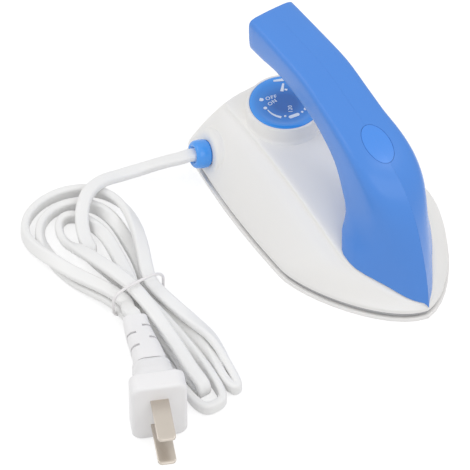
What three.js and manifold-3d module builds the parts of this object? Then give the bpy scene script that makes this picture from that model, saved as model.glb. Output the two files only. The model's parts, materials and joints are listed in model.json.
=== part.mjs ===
// Travel iron with a one-armed handle, a heat dial and a flat two-core cord wound into a hank.
// Millimetres. +X is the nose, +Z is up, and the origin lies under the middle of the iron, on the table.
import * as THREE from 'three';
import { mergeVertices } from 'three/addons/utils/BufferGeometryUtils.js';
import Module from 'manifold-3d';

const wasm = await Module();
wasm.setup();

// Sizes of the whole iron
const iron_length = 117;
const iron_width = 66;
const handle_height = 71.8;
const gap = 0.3;            // clearance between two pieces that touch
const overrun = 2;          // how far a cutting tool runs past what it cuts
const weld = 0.001;         // points closer than this are one point

// Soleplate and its cover
const sole = { plate: 1.9, chamfer: 0.5, plateau: 3.1, plateau_chamfer: 0.4 };
const core = { rear: 20.5, corner: 5, plateau_inset: 1.3 };
// Shares of half the length and half the width
const core_plan_shares = { front: 0.687, straight: 0.171, side: 0.682 };
const cover = {
  sheet: 0.6, rim: 1.5, rim_inset: 1.2, rim_width: 4.2, height: 7.1, port_ahead: 6.6, port_width: 25,
};
const element = { radius: 3, half_width: 15, nose: 4.2, rear: 3, bend: 11, sunk: 2 };
const pin = { radius: 1.1, length: 9, sunk: 3 };

// Body shell
const shell = {
  seam: 4, inset: 0.6, wall: 2, ridge_height: 26.3, ridge_round: 1.1, crown: 0.4, lip: 1.4, bulge: 1.1,
};
const boss = {
  width: 19, height: 20, reach: 5.6, fillet: 2, turn: 12, tilt: 12, rear: 15.1, side: 6.8, z: 10.8,
};

// Dial, its collar and its spindle
const dial = { rear: 26.8, radius: 13, thick: 4, edge: 1, dish: 0.5, top: 32.6, hub: 4.4 };
const collar = { wall: 0.7, flare: 0.3, proud: 0.5, step_width: 0.8, step: 0.5, floor: 1.8 };
const spindle = { radius: 2, flat: 0.7, flat_length: 5 };

// Thermostat, from the soleplate up
const stack = {
  ahead: 17.7, washer: 4, bore: 1.6, spacer: 1.6, bimetal: 0.8, blade: 0.5, arm: 1, width: 7, screw: 1.3,
  head: 2.6, head_thick: 1.4,
};
const bush = { radius: 3.6, flange: 5, flange_thick: 1.1, below: 1, above: 1.8 };

// Screws and the posts that hold them
const screw = { radius: 1.4, head: 2.7, head_thick: 1.5, slot: 0.7, slot_depth: 0.6, bite: 2.4 };
const post = { radius: 3.3, spread: 8.6, height: 10, nose: 13.5, front_height: 1.9, depth: 8 };
const handle_post_shares = { x: 0.547, y: 0.2485 };   // of half the length, of half the width

// Handle
const grip = { wall: 2.2, end_round: 1.6 };
const lens = { length: 15.4, width: 10.2, thick: 2.4 };
const lamp = { radius: 2.1, length: 8, tip: 1.2, lead: 0.5 };
const resistor = { radius: 1.3, length: 6.5, aside: 1.5 };

// Cord entry, its clamp, the terminal block and the fuse
const sleeve = { flange: 5.3, proud: 5.8, neck: 4.5, inner: 5.5, inner_thick: 1.4, edge: 1.5 };
const clamp = {
  behind: 1.5, above: 1.9, length: 13.2, width: 4.4, thick: 1.7, spread: 4.9, post: 1.9, radius: 1, head: 1.7,
  head_thick: 1.1, bite: 4.5, slot: 0.6, slot_depth: 0.5, screw: 1,
};
const clamp_place_share = 0.288;   // of half the width
const block = {
  length: 7, width: 16, height: 8.6, behind: 3.1, y: 6.5, bore: 1.1, pitch: 8, screw: 1.5, depth: 3,
};
const fuse = { radius: 1.8, length: 10, nose: 1.4, nose_length: 1.6, ahead: 7, aside: 0.6, above: 0.5 };
const wire = { radius: 0.8, sides: 6, apart: 1.5, bend: 2 };

// Cord: two cores side by side in one flat sheath
const cord = { width: 5, thick: 3, round_share: 0.42 };
const hank = {
  x: -3, y: -82.45, layer: 3.95, steps: 24, stub: 6, clear: 0.1, lift: 2.2,
  lift_reach: 26, bend_share: 0.745, entry: 25, entry_y: -83.6,
};
const tie = { radius: 0.9, clear: 0.5 };
const plug = {
  width: 19.4, height: 27, flange: 8, neck_width: 14, neck_height: 20, neck: 12.5, shoulder: 4,
  relief: 24.4, relief_width: 12.8, relief_height: 11, tail_width: 8.6, tail_height: 6.2, taper: 1.2,
  droop: 3, sway: -1.9, rib: 1.1, rib_depth: 2.2, rib_shares: [0.28, 0.43, 0.58, 0.73], face_x: 50.3,
  face_y: -108.3, turn: -24.6,
};
const prong = { width: 6.35, thick: 1.5, length: 17.5, pitch: 12.7, root: 4, tip: 1.4 };

// Finishes
const finish = (color, roughness, metalness = 0) => ({ color, roughness, metalness });
const finishes = {
  white: finish(0xf1f1ef, 0.35),
  blue: finish(0x3f83e0, 0.3),
  deep_blue: finish(0x2f74dc, 0.15),
  lens: finish(0x4a93f0, 0.25),
  polished: finish(0xb9bcc0, 0.25, 0.9),
  cast: finish(0x9b9ea2, 0.5, 0.8),
  steel: finish(0x8f9296, 0.4, 0.9),
  brass: finish(0xb59a4e, 0.35, 0.9),
  nickel: finish(0xb8aa98, 0.3, 0.9),
  ceramic: finish(0xe9e4d8, 0.7),
  glass: finish(0xd98a5a, 0.1),
  sheath: finish(0xececec, 0.45),
  live: finish(0x8a5a34, 0.5),
  neutral: finish(0x3b6fb0, 0.5),
  tan: finish(0xc9a77c, 0.6),
};

const iron = new THREE.Group();
const up = new THREE.Vector3(0, 0, 1);

// Tools for solids
function solid(geometry) {
  const bare = geometry.clone();
  bare.deleteAttribute('normal');
  bare.deleteAttribute('uv');
  const merged = mergeVertices(bare, weld);
  const index = merged.index.array;
  const kept = [];
  for (let i = 0; i < index.length; i += 3) {
    const [a, b, c] = [index[i], index[i + 1], index[i + 2]];
    if (a !== b && b !== c && c !== a) kept.push(a, b, c);
  }
  const mesh = { numProp: 3, vertProperties: merged.attributes.position.array,
    triVerts: new Uint32Array(kept) };
  return new wasm.Manifold(new wasm.Mesh(mesh));
}

function surface(body) {
  const mesh = body.getMesh();
  const geometry = new THREE.BufferGeometry();
  geometry.setAttribute('position', new THREE.BufferAttribute(mesh.vertProperties, 3));
  geometry.setIndex(new THREE.BufferAttribute(mesh.triVerts, 1));
  geometry.computeVertexNormals();
  return geometry;
}

function add(name, geometry, look, parent = iron) {
  const mesh = new THREE.Mesh(geometry, new THREE.MeshStandardMaterial(finishes[look]));
  mesh.name = name;
  parent.add(mesh);
  return mesh;
}

const join = (...bodies) => bodies.reduce((whole, body) => whole.add(body));
const cut = (body, ...tools) => tools.reduce((rest, tool) => rest.subtract(tool), body);

// The main body of a cut piece, without the chips that a grazing cut can leave
const main_body = (body) => body.decompose().sort((a, b) => b.volume() - a.volume())[0];

function block_between(low, high) {
  const size = new THREE.Vector3().subVectors(high, low);
  const middle = new THREE.Vector3().addVectors(low, high).multiplyScalar(0.5);
  return solid(new THREE.BoxGeometry(size.x, size.y, size.z).translate(middle.x, middle.y, middle.z));
}

function rod(radius, from, to, sides = 16) {
  const along = new THREE.Vector3().subVectors(to, from);
  const geometry = new THREE.CylinderGeometry(radius, radius, along.length(), sides);
  const turn = new THREE.Quaternion().setFromUnitVectors(new THREE.Vector3(0, 1, 0),
    along.clone().normalize());
  geometry.applyQuaternion(turn);
  const middle = new THREE.Vector3().addVectors(from, to).multiplyScalar(0.5);
  return solid(geometry.translate(middle.x, middle.y, middle.z));
}

const at = (x, y, z) => new THREE.Vector3(x, y, z);
const post_at = (radius, x, y, low, high, sides) => rod(radius, at(x, y, low), at(x, y, high), sides);

// A turned piece, standing on z, from a profile of [radius, z] pairs
function turned(profile, x = 0, y = 0, steps = 48) {
  const points = profile.map(([radius, z]) => new THREE.Vector2(radius, z));
  return solid(new THREE.LatheGeometry(points, steps).rotateX(Math.PI / 2).translate(x, y, 0));
}

function slab(shape, low, high, bevel = 0) {
  const settings = { depth: high - low - 2 * bevel, bevelEnabled: bevel > 0, curveSegments: 8 };
  settings.bevelThickness = bevel;
  settings.bevelSize = bevel;
  settings.bevelOffset = -bevel;
  settings.bevelSegments = 2;
  return solid(new THREE.ExtrudeGeometry(shape, settings).translate(0, 0, low + bevel));
}

// A skin over rings of equal count, closed at both ends round each end ring's middle
function loft(rings) {
  const count = rings[0].length;
  const points = rings.flat();
  const faces = [];
  for (let r = 0; r + 1 < rings.length; r += 1) {
    for (let i = 0; i < count; i += 1) {
      const [a, b] = [r * count + i, r * count + ((i + 1) % count)];
      faces.push(a, b, b + count, a, b + count, a + count);
    }
  }
  const last = (rings.length - 1) * count;
  const cap = (ring, first, flip) => {
    const middle = points.length;
    points.push(ring.reduce((sum, p) => sum.add(p), at(0, 0, 0)).divideScalar(count));
    for (let i = 0; i < count; i += 1) {
      const [a, b] = [first + i, first + ((i + 1) % count)];
      faces.push(...(flip ? [middle, b, a] : [middle, a, b]));
    }
  };
  cap(rings[0], 0, true);
  cap(rings[rings.length - 1], last, false);
  const geometry = new THREE.BufferGeometry().setFromPoints(points);
  geometry.setIndex(faces);
  let volume = 0;
  for (let i = 0; i < faces.length; i += 3) {
    volume += points[faces[i]].dot(points[faces[i + 1]].clone().cross(points[faces[i + 2]]));
  }
  if (volume < 0) {
    for (let i = 0; i < faces.length; i += 3) [faces[i + 1], faces[i + 2]] = [faces[i + 2], faces[i + 1]];
    geometry.setIndex(faces);
  }
  return geometry;
}

// A round wire through a few points
function strand(points, radius = wire.radius, per_span = 4) {
  const path = new THREE.CatmullRomCurve3(points, false, 'centripetal');
  const shape = new THREE.Shape();
  for (let i = 0; i < wire.sides; i += 1) {
    const angle = (2 * Math.PI * i) / wire.sides;
    shape[i ? 'lineTo' : 'moveTo'](radius * Math.cos(angle), radius * Math.sin(angle));
  }
  const steps = per_span * (points.length - 1);
  return new THREE.ExtrudeGeometry(shape, { steps, extrudePath: path, bevelEnabled: false });
}

// Plan outlines. Each half is five curves: nose to widest, along the flank in two, round the rear corner,
// across the rear.
const half_length = iron_length / 2;
const half_width = iron_width / 2;
const base_plan_shares = [
  [1, 0, 0.959, 0.483, 0.436, 1, 0.212, 1],
  [0.212, 1, -0.14, 1, -0.38, 0.975, -0.63, 0.912],
  [-0.63, 0.912, -0.7, 0.894, -0.78, 0.873, -0.855, 0.855],
  [-0.855, 0.855, -0.985, 0.862, -1.007, 0.76, -1, 0.42],
  [-1, 0.42, -1, 0.28, -1, 0.14, -1, 0],
];
const ridge_plan_shares = [
  [0.985, 0, 0.985, 0.1, 0.735, 0.55, 0.485, 0.55],
  [0.485, 0.55, 0.22, 0.55, -0.376, 0.468, -0.756, 0.468],
  [-0.756, 0.468, -0.785, 0.47, -0.81, 0.472, -0.828, 0.465],
  [-0.828, 0.465, -0.847, 0.452, -0.852, 0.36, -0.852, 0.25],
  [-0.852, 0.25, -0.852, 0.17, -0.85, 0.09, -0.85, 0],
];
const plan_steps = [12, 4, 1, 6, 1];

function half_plan(shares, length = half_length, width = half_width) {
  const points = [];
  shares.forEach((row, k) => {
    const [a, b, c, d] = [0, 2, 4, 6].map((i) => new THREE.Vector2(row[i] * length, row[i + 1] * width));
    const curve = new THREE.CubicBezierCurve(a, b, c, d);
    for (let i = k ? 1 : 0; i <= plan_steps[k]; i += 1) points.push(curve.getPoint(i / plan_steps[k]));
  });
  return points;
}

const both_sides = (half) => [...half, ...half.slice(1, -1).reverse().map((p) => new THREE.Vector2(p.x,
  -p.y))];

function plan_shape(inset) {
  const shares = [1 - inset / half_length, 1 - inset / half_width];
  return new THREE.Shape(both_sides(half_plan(base_plan_shares, half_length * shares[0],
    half_width * shares[1])));
}

// Height of the ridge between flank and top, from the rear to the nose
const ridge_height_shares = [
  [-1, 1], [-0.55, 0.985], [-0.15, 0.928], [0.2, 0.832], [0.47, 0.705], [0.66, 0.565], [0.79, 0.442],
  [0.9, 0.328], [1, 0.25],
];

function height_at(x) {
  const rows = ridge_height_shares;
  const share = THREE.MathUtils.clamp(x / half_length, rows[0][0], rows[rows.length - 1][0]);
  let k = 0;
  while (k + 2 < rows.length && share > rows[k + 1][0]) k += 1;
  const [[x0, z0], [x1, z1]] = [rows[k], rows[k + 1]];
  return shell.ridge_height * THREE.MathUtils.lerp(z0, z1, (share - x0) / (x1 - x0));
}

// The hull: flanks that lean in to a rounded ridge, and a faintly crowned top. Inset makes it smaller all
// round.
function hull(inset, low, flank_steps = 2) {
  const shares = [1 - inset / half_length, 1 - inset / half_width];
  const base = half_plan(base_plan_shares, half_length * shares[0], half_width * shares[1]);
  const ridge = half_plan(ridge_plan_shares, half_length * shares[0], half_width - inset);
  const levels = [];
  const foot = base.map((p) => at(p.x, p.y, 0));
  levels.push(foot.map((p) => at(p.x, p.y, low)));
  levels.push(foot.map((p) => at(p.x, p.y, shell.seam + shell.lip)));
  const crest = ridge.map((p) => at(p.x, p.y, height_at(p.x / shares[0]) - inset + shell.inset));
  for (let i = 1; i <= flank_steps; i += 1) {
    const share = i / (flank_steps + 1);
    const swell = shell.bulge * Math.sin(Math.PI * share);
    levels.push(crest.map((p, k) => at(
      THREE.MathUtils.lerp(foot[k].x, p.x, share),
      THREE.MathUtils.lerp(foot[k].y, p.y, share) * (1 + swell / half_width),
      THREE.MathUtils.lerp(shell.seam + shell.lip, p.z, share) + swell,
    )));
  }
  const round = shell.ridge_round;
  const out = (p, across, rise) => at(p.x * (1 + across / half_length), p.y * (1 + across / half_width),
    p.z + rise);
  levels.push(crest.map((p) => out(p, round * 0.6, -round * 0.9)));
  levels.push(crest.map((p) => out(p, 0, -round * 0.25)));
  [0.9, 0].forEach((share) => {
    const rise = shell.crown * (1 - share * share);
    levels.push(crest.map((p) => at(p.x, p.y * share, p.z + rise)));
  });
  const rings = levels.map((half) => [
    ...half, ...half.slice(1, -1).reverse().map((p) => at(p.x, -p.y, p.z)),
  ]);
  return solid(loft(rings));
}

// Places that follow the outside: the heated core, the dial with its thermostat, the cord's entry and the
// screws
const [core_front, core_back] = [core_plan_shares.front * half_length, half_length - core.rear];
const [core_straight, core_half] = [core_plan_shares.straight * half_length,
  core_plan_shares.side * half_width];
const [element_front, element_back] = [core_front - element.nose, core_back - element.rear];
const element_half = element.half_width;
const dial_x = dial.rear - half_length;
const stack_x = dial_x + stack.ahead;
const [boss_x, boss_y] = [boss.rear - half_length, boss.side - half_width];
const [clamp_x, clamp_z] = [boss_x - clamp.behind, boss.z + clamp.above];
const clamp_y = -clamp_place_share * half_width;
const block_x = boss_x - block.behind;
const front_x = half_length - post.nose;
const [handle_x, handle_y] = [handle_post_shares.x * half_length, handle_post_shares.y * half_width];

const outer_hull = hull(shell.inset, shell.seam);
const middle_hull = hull(shell.inset + shell.wall / 2, shell.seam, 1);
const inner_hull = hull(shell.inset + shell.wall, shell.seam - overrun, 1);
const sole_top = sole.plate + sole.plateau;
const cover_top = shell.seam + cover.height;

// Plan of the plateau and of the cover over it: straight sides, rounded corners behind, a blunt nose
function core_shape(inset) {
  const [w, front, back] = [core_half - inset, core_front - inset, -core_back + inset];
  const round = core.corner;
  const shape = new THREE.Shape();
  shape.moveTo(back + round, -w);
  shape.lineTo(core_straight, -w);
  shape.bezierCurveTo(core_straight * 2.8, -w, front, -w * 0.6, front, 0);
  shape.bezierCurveTo(front, w * 0.6, core_straight * 2.8, w, core_straight, w);
  shape.lineTo(back + round, w);
  shape.quadraticCurveTo(back, w, back, w - round);
  shape.lineTo(back, round - w);
  shape.quadraticCurveTo(back, -w, back + round, -w);
  return shape;
}

// Soleplate: a cast plate with a plateau that takes the heating element, and posts for the screws
const element_z = sole_top - element.sunk + element.radius;
const element_path = (() => {
  const path = new THREE.CurvePath();
  const [y, tip, bend] = [element_half, element_front, element.bend];
  path.add(new THREE.LineCurve3(at(-element_back, -y, element_z), at(tip - bend * 2, -y, element_z)));
  path.add(new THREE.CubicBezierCurve3(
    at(tip - bend * 2, -y, element_z), at(tip - bend, -y, element_z), at(tip, -bend * 0.8,
      element_z), at(tip, 0, element_z),
  ));
  path.add(new THREE.CubicBezierCurve3(
    at(tip, 0, element_z), at(tip, bend * 0.8, element_z), at(tip - bend, y, element_z), at(tip - bend * 2,
      y, element_z),
  ));
  path.add(new THREE.LineCurve3(at(tip - bend * 2, y, element_z), at(-element_back, y, element_z)));
  return path;
})();

function element_tube(radius, sides) {
  const shape = new THREE.Shape();
  for (let i = 0; i < sides; i += 1) {
    const angle = (2 * Math.PI * (i + 0.5)) / sides;
    shape[i ? 'lineTo' : 'moveTo'](radius * Math.cos(angle), radius * Math.sin(angle));
  }
  return new THREE.ExtrudeGeometry(shape, { steps: 30, extrudePath: element_path, bevelEnabled: false });
}

const sole_posts = [
  [dial_x, post.spread, post.height],
  [dial_x, -post.spread, post.height],
  [front_x, 0, post.front_height],
];
const screw_low = sole_top - screw.bite;
const soleplate = (() => {
  const plate = slab(plan_shape(0), 0, sole.plate, sole.chamfer);
  const plateau = slab(core_shape(core.plateau_inset), sole.chamfer, sole_top, sole.plateau_chamfer);
  const posts = sole_posts.map(([x, y, rise]) => post_at(post.radius, x, y, sole.chamfer, sole_top + rise));
  const holes = sole_posts.map(([x, y, rise]) => (
    post_at(screw.radius + gap, x, y, screw_low - gap, sole_top + rise + overrun, 16)));
  const stack_hole = post_at(stack.screw + gap, stack_x, 0, screw_low - gap, sole_top + overrun, 16);
  const groove = [1, -1].map((side) => rod(
    pin.radius + gap, at(-element_back, side * element_half, element_z),
    at(-core_back, side * element_half, element_z), 12));
  return cut(join(plate, plateau, ...posts), ...holes, stack_hole, solid(element_tube(element.radius + gap,
    12)), ...groove);
})();
add('soleplate', surface(soleplate), 'polished');

// Heating element and its two cold pins
const element_end = -element_back;
const sheath_bore = (side) => rod(
  pin.radius + gap, at(element_end - overrun, side * element_half, element_z),
  at(element_end + pin.sunk + gap, side * element_half, element_z), 12,
);
add('heating_element', surface(cut(solid(element_tube(element.radius, 12)), sheath_bore(1),
  sheath_bore(-1))), 'cast');
const pin_out = pin.length - pin.sunk;
[['element_pin_left', 1], ['element_pin_right', -1]].forEach(([name, side]) => {
  const y = side * element_half;
  const from = at(element_end + pin.sunk, y, element_z);
  add(name, surface(rod(pin.radius, from, at(element_end - pin_out, y, element_z), 12)), 'steel');
});

// Heat cover: a pressed pan whose rim shows as the dark line between soleplate and shell
const cover_low = sole.plate + gap;
const port = block_between(
  at(-core_back + cover.sheet * 2, -cover.port_width / 2, sole_top),
  at(stack_x + cover.port_ahead, cover.port_width / 2, cover_top + overrun),
);
const front_port = post_at(post.radius + 2 * gap, front_x, 0, 0, cover_top + overrun);
const heat_cover = (() => {
  const rim = cut(
    slab(plan_shape(cover.rim_inset), cover_low, cover_low + cover.rim),
    slab(plan_shape(cover.rim_inset + cover.rim_width), cover_low + cover.sheet,
      cover_low + cover.rim + overrun),
  );
  const dome = slab(core_shape(0), cover_low, cover_top, cover.sheet / 2);
  const hollow = slab(core_shape(cover.sheet), cover_low - overrun, cover_top - cover.sheet);
  const pin_slots = [1, -1].map((side) => block_between(
    at(-core_back - overrun, side * element_half - pin.radius * 2, cover_low + cover.sheet + gap),
    at(-core_back + overrun, side * element_half + pin.radius * 2, element_z + pin.radius * 2),
  ));
  return cut(join(rim, dome), hollow, port, front_port, ...pin_slots,
    solid(element_tube(element.radius + gap, 12)));
})();
add('heat_cover', surface(heat_cover), 'steel');

// Body shell: the hull with its wall, the dial's collar and the boss for the cord
const boss_turn = THREE.MathUtils.degToRad(boss.turn);
const boss_tilt = THREE.MathUtils.degToRad(boss.tilt);
const way_out = at(-Math.sin(boss_turn), -Math.cos(boss_turn), Math.tan(boss_tilt)).normalize();
const entry = at(boss_x, boss_y, boss.z);
const out_by = (length) => entry.clone().addScaledVector(way_out, length);

// Turns a solid drawn with its axis on +Z, its width on X and its height on Y, to face out of the entry
function face_out(geometry, length = 0) {
  const side = new THREE.Vector3().crossVectors(up, way_out).normalize();
  const rise = new THREE.Vector3().crossVectors(way_out, side);
  const frame = new THREE.Matrix4().makeBasis(side, rise, way_out);
  return geometry.applyMatrix4(frame).translate(...out_by(length).toArray());
}

function boss_shape(shrink) {
  const half = boss.width / 2 - shrink;
  const low = shell.seam - boss.z - overrun;
  const shoulder = boss.height - shrink - half - boss.z;
  const shape = new THREE.Shape();
  shape.moveTo(-half, low);
  shape.lineTo(half, low);
  shape.lineTo(half, shoulder);
  shape.absarc(0, shoulder, half, 0, Math.PI, false);
  shape.closePath();
  return shape;
}

const boss_depth = boss.reach * 2 + shell.wall;
const boss_block = (shrink, front) => {
  const settings = {
    depth: boss_depth, bevelEnabled: true, bevelThickness: boss.fillet, bevelSize: boss.fillet,
    bevelOffset: -boss.fillet, bevelSegments: 2, curveSegments: 10,
  };
  const geometry = new THREE.ExtrudeGeometry(boss_shape(shrink), settings);
  return solid(face_out(geometry.translate(0, 0, -boss_depth - boss.fillet), -front));
};

const collar_top = dial.top - collar.proud;
const floor_top = dial.top - dial.thick - gap;
const collar_inner = dial.radius + gap;
const collar_outer = collar_inner + collar.wall;
const body_top = height_at(dial_x) + shell.crown;
const collar_body = turned([
  [0, body_top - shell.wall], [collar_outer + collar.flare + collar.step_width, body_top - shell.wall],
  [collar_outer + collar.flare + collar.step_width, body_top + collar.step * 0.5],
  [collar_outer + collar.flare + collar.step_width - collar.step * 0.5, body_top + collar.step],
  [collar_outer + collar.flare, body_top + collar.step],
  [collar_outer, collar_top], [0, collar_top],
], dial_x);
const collar_recess = turned([
  [0, floor_top], [collar_inner, floor_top], [collar_inner, collar_top - gap],
  [collar_inner + gap, collar_top + overrun], [0, collar_top + overrun],
], dial_x);
const collar_hollow = turned([
  [0, body_top - shell.wall * 2], [collar_inner - shell.wall, body_top - shell.wall * 2],
  [collar_inner - shell.wall, floor_top - collar.floor], [0, floor_top - collar.floor],
], dial_x);

const head_low = floor_top - gap - screw.head_thick;
const post_gap = sole_top + post.height + gap;
const front_head = height_at(front_x) - shell.wall * 0.5 - screw.head_thick;
const front_post_low = sole_top + post.front_height + gap;
const handle_posts = [[handle_x, handle_y], [handle_x, -handle_y]];
const handle_head_top = height_at(handle_x) - shell.wall - gap;

const clamp_spots = [[clamp_x - clamp.spread, clamp_y], [clamp_x + clamp.spread, clamp_y]];
const lead_rise = clamp_z + clamp.thick + gap + cord.thick / 2;
const clamp_rib = block_between(
  at(clamp_x - clamp.spread, clamp_y - clamp.width / 2, lead_rise + cord.thick / 2 + gap),
  at(clamp_x + clamp.spread, clamp_y + clamp.width / 2, body_top),
);

const body_shell = (() => {
  const rear_posts = [1, -1].map((side) => post_at(post.radius, dial_x, side * post.spread, post_gap,
    floor_top - gap));
  const front_post = post_at(post.radius, front_x, 0, front_post_low, height_at(front_x));
  const clamp_posts = clamp_spots.map(([x, y]) => post_at(clamp.post, x, y, clamp_z + clamp.thick + gap,
    body_top));
  const handle_pads = handle_posts.map(([x, y]) => post_at(post.radius, x, y, handle_head_top - gap,
    height_at(x)));
  const inside_posts = join(front_post, ...handle_pads, ...clamp_posts, clamp_rib).intersect(middle_hull);
  const cover_room = slab(core_shape(-gap), shell.seam - overrun, cover_top + gap);
  const walls = cut(
    join(outer_hull, boss_block(0, 0), collar_body),
    inner_hull, boss_block(shell.wall, shell.wall), collar_hollow, cover_room,
  );
  const rear_holes = [1, -1].map((side) => join(
    post_at(screw.radius + gap, dial_x, side * post.spread, post_gap - overrun, floor_top + overrun, 16),
    post_at(screw.head + gap, dial_x, side * post.spread, head_low, floor_top + overrun),
  ));
  const front_hole = join(
    post_at(screw.radius + gap, front_x, 0, front_post_low - overrun, handle_height, 16),
    post_at(screw.head + gap, front_x, 0, front_head, handle_height),
  );
  const handle_holes = handle_posts.map(([x, y]) => join(
    post_at(screw.radius + gap, x, y, handle_head_top - overrun, height_at(x) + overrun, 16),
    post_at(screw.head + gap, x, y, cover_top, handle_head_top + gap),
  ));
  const clamp_holes = clamp_spots.map(([x, y]) => (
    post_at(clamp.screw + gap, x, y, clamp_z, clamp_z + clamp.thick + clamp.bite + gap, 16)));
  const lamp_hole = post_at(post.radius, handle_x, 0, cover_top, height_at(handle_x) + overrun);
  const spindle_hole = post_at(spindle.radius + 2 * gap, dial_x, 0, cover_top, collar_top);
  const sleeve_hole = join(
    rod(sleeve.neck + gap, out_by(-shell.wall * 2), out_by(overrun)),
    rod(sleeve.flange + gap, out_by(0), out_by(boss.reach + overrun)),
    rod(sleeve.inner + gap, out_by(-boss.reach - shell.wall), out_by(-shell.wall)),
  );
  const low_trim = block_between(at(-iron_length, -iron_width, -overrun), at(iron_length, iron_width,
    shell.seam));
  return cut(
    join(walls, ...rear_posts, inside_posts),
    collar_recess, ...rear_holes, front_hole, ...handle_holes, ...clamp_holes, lamp_hole, spindle_hole,
    sleeve_hole,
    low_trim,
  );
})();
add('body_shell', surface(body_shell), 'white');

// Screws: a pan head with a slot, a plain shank. The head is above its seat, or below it for a screw
// driven upward.
function screw_body(x, y, tip, seat, size = screw) {
  const way = seat > tip ? 1 : -1;
  const top = seat + way * size.head_thick;
  const face = top - way * size.slot_depth;
  const far = top + way * overrun;
  const slot = block_between(
    at(x - size.head - overrun, y - size.slot / 2, Math.min(face, far)),
    at(x + size.head + overrun, y + size.slot / 2, Math.max(face, far)),
  );
  const shank = post_at(size.radius, x, y, Math.min(tip, seat), Math.max(tip, seat), 12);
  const head = post_at(size.head, x, y, Math.min(seat, top), Math.max(seat, top), 20);
  return cut(join(shank, head), slot);
}
add('sole_screw_left', surface(screw_body(dial_x, post.spread, screw_low, head_low)), 'steel');
add('sole_screw_right', surface(screw_body(dial_x, -post.spread, screw_low, head_low)), 'steel');
add('sole_screw_front', surface(screw_body(front_x, 0, screw_low, front_head)), 'steel');

// Thermostat stack: washers and blades on one screw, blades reaching back under the dial
const tail = stack_x + stack.washer + overrun;
const reach = dial_x - stack.washer;
const levels = [];
let level = sole_top + gap;
const stack_rows = [
  ['thermostat_washer_1', stack.spacer], ['thermostat_bimetal', stack.bimetal],
  ['thermostat_washer_2', stack.spacer], ['thermostat_lower_blade', stack.blade],
  ['thermostat_washer_3', stack.spacer], ['thermostat_upper_blade', stack.blade],
  ['thermostat_washer_4', stack.spacer], ['thermostat_bracket', stack.arm],
];
stack_rows.forEach(([name, thick]) => {
  levels.push({ name, low: level, high: level + thick });
  level += thick + gap / 3;
});
const stack_bore = post_at(stack.bore, stack_x, 0, 0, handle_height, 16);
const bush_low = levels[7].high - stack.arm;
function arm(low, high, back, front, width = stack.width) {
  const half = width / 2;
  const shape = new THREE.Shape();
  shape.moveTo(back + half, -half);
  shape.lineTo(front - half, -half);
  shape.absarc(front - half, 0, half, -Math.PI / 2, Math.PI / 2, false);
  shape.lineTo(back + half, half);
  shape.absarc(back + half, 0, half, Math.PI / 2, Math.PI * 1.5, false);
  return slab(shape, low, high);
}
levels.forEach(({ name, low, high }) => {
  const washer = post_at(stack.washer, stack_x, 0, low, high);
  const bodies = {
    thermostat_bimetal: () => arm(low, high, reach + stack.washer, tail),
    thermostat_lower_blade: () => join(
      arm(low, high, reach, tail), post_at(stack.bore, dial_x, 0, low, high + stack.blade * 2)),
    thermostat_upper_blade: () => arm(low, high, reach, tail),
    thermostat_bracket: () => cut(
      arm(low, high, dial_x - bush.flange, tail, bush.flange * 2 - gap),
      post_at(bush.radius + gap, dial_x, 0, low - overrun, high + overrun)),
  };
  const body = bodies[name] ? bodies[name]() : washer;
  const look = bodies[name] ? (name.includes('blade') ? 'brass' : 'steel') : 'ceramic';
  add(name, surface(cut(body, stack_bore)), look);
});
const stack_top = levels[7].high + gap;
const stack_size = { ...screw, radius: stack.screw, head: stack.head, head_thick: stack.head_thick };
add('thermostat_screw', surface(screw_body(stack_x, 0, screw_low, stack_top, stack_size)), 'steel');
const bush_high = levels[7].high + gap;
add('thermostat_bush', surface(cut(
  join(
    post_at(bush.radius, dial_x, 0, bush_low - bush.below, bush_high + bush.above),
    post_at(bush.flange - gap, dial_x, 0, bush_high, bush_high + bush.flange_thick),
  ),
  post_at(spindle.radius + gap, dial_x, 0, 0, handle_height),
)), 'brass');

// Dial: a spindle with a flat, and a dished knob with a hollow under it
const spindle_low = levels[5].high + gap;
const knob_low = dial.top - dial.thick;
const spindle_top = dial.top - dial.edge - gap * 2;
const flat_from = spindle_top - spindle.flat_length;
const flat_cut = (slack, low) => block_between(
  at(dial_x + spindle.radius - spindle.flat + slack, -iron_width, low), at(iron_length, iron_width,
    handle_height));
add('dial_spindle', surface(cut(
  post_at(spindle.radius, dial_x, 0, spindle_low, spindle_top), flat_cut(0, flat_from),
)), 'steel');
const knob_bore = cut(
  post_at(spindle.radius + gap, dial_x, 0, knob_low - overrun, spindle_top + gap), flat_cut(gap,
    flat_from + gap));
const knob_rim = dial.radius - dial.edge * 2;
const knob_turned = turned([
  [0, knob_low], [dial.hub, knob_low], [dial.hub, dial.top - dial.edge * 2.5], [knob_rim,
    dial.top - dial.edge * 2.5],
  [knob_rim, knob_low], [dial.radius - dial.edge / 2, knob_low], [dial.radius, knob_low + dial.edge / 2],
  [dial.radius, dial.top - dial.edge], [dial.radius - dial.edge * 0.3, dial.top - dial.edge * 0.3],
  [dial.radius - dial.edge, dial.top], [dial.radius - dial.edge * 2, dial.top],
  [dial.radius - dial.edge * 3, dial.top - dial.dish], [0, dial.top - dial.dish],
], dial_x, 0, 44);
add('dial_knob', surface(cut(knob_turned, knob_bore)), 'deep_blue');

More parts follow.
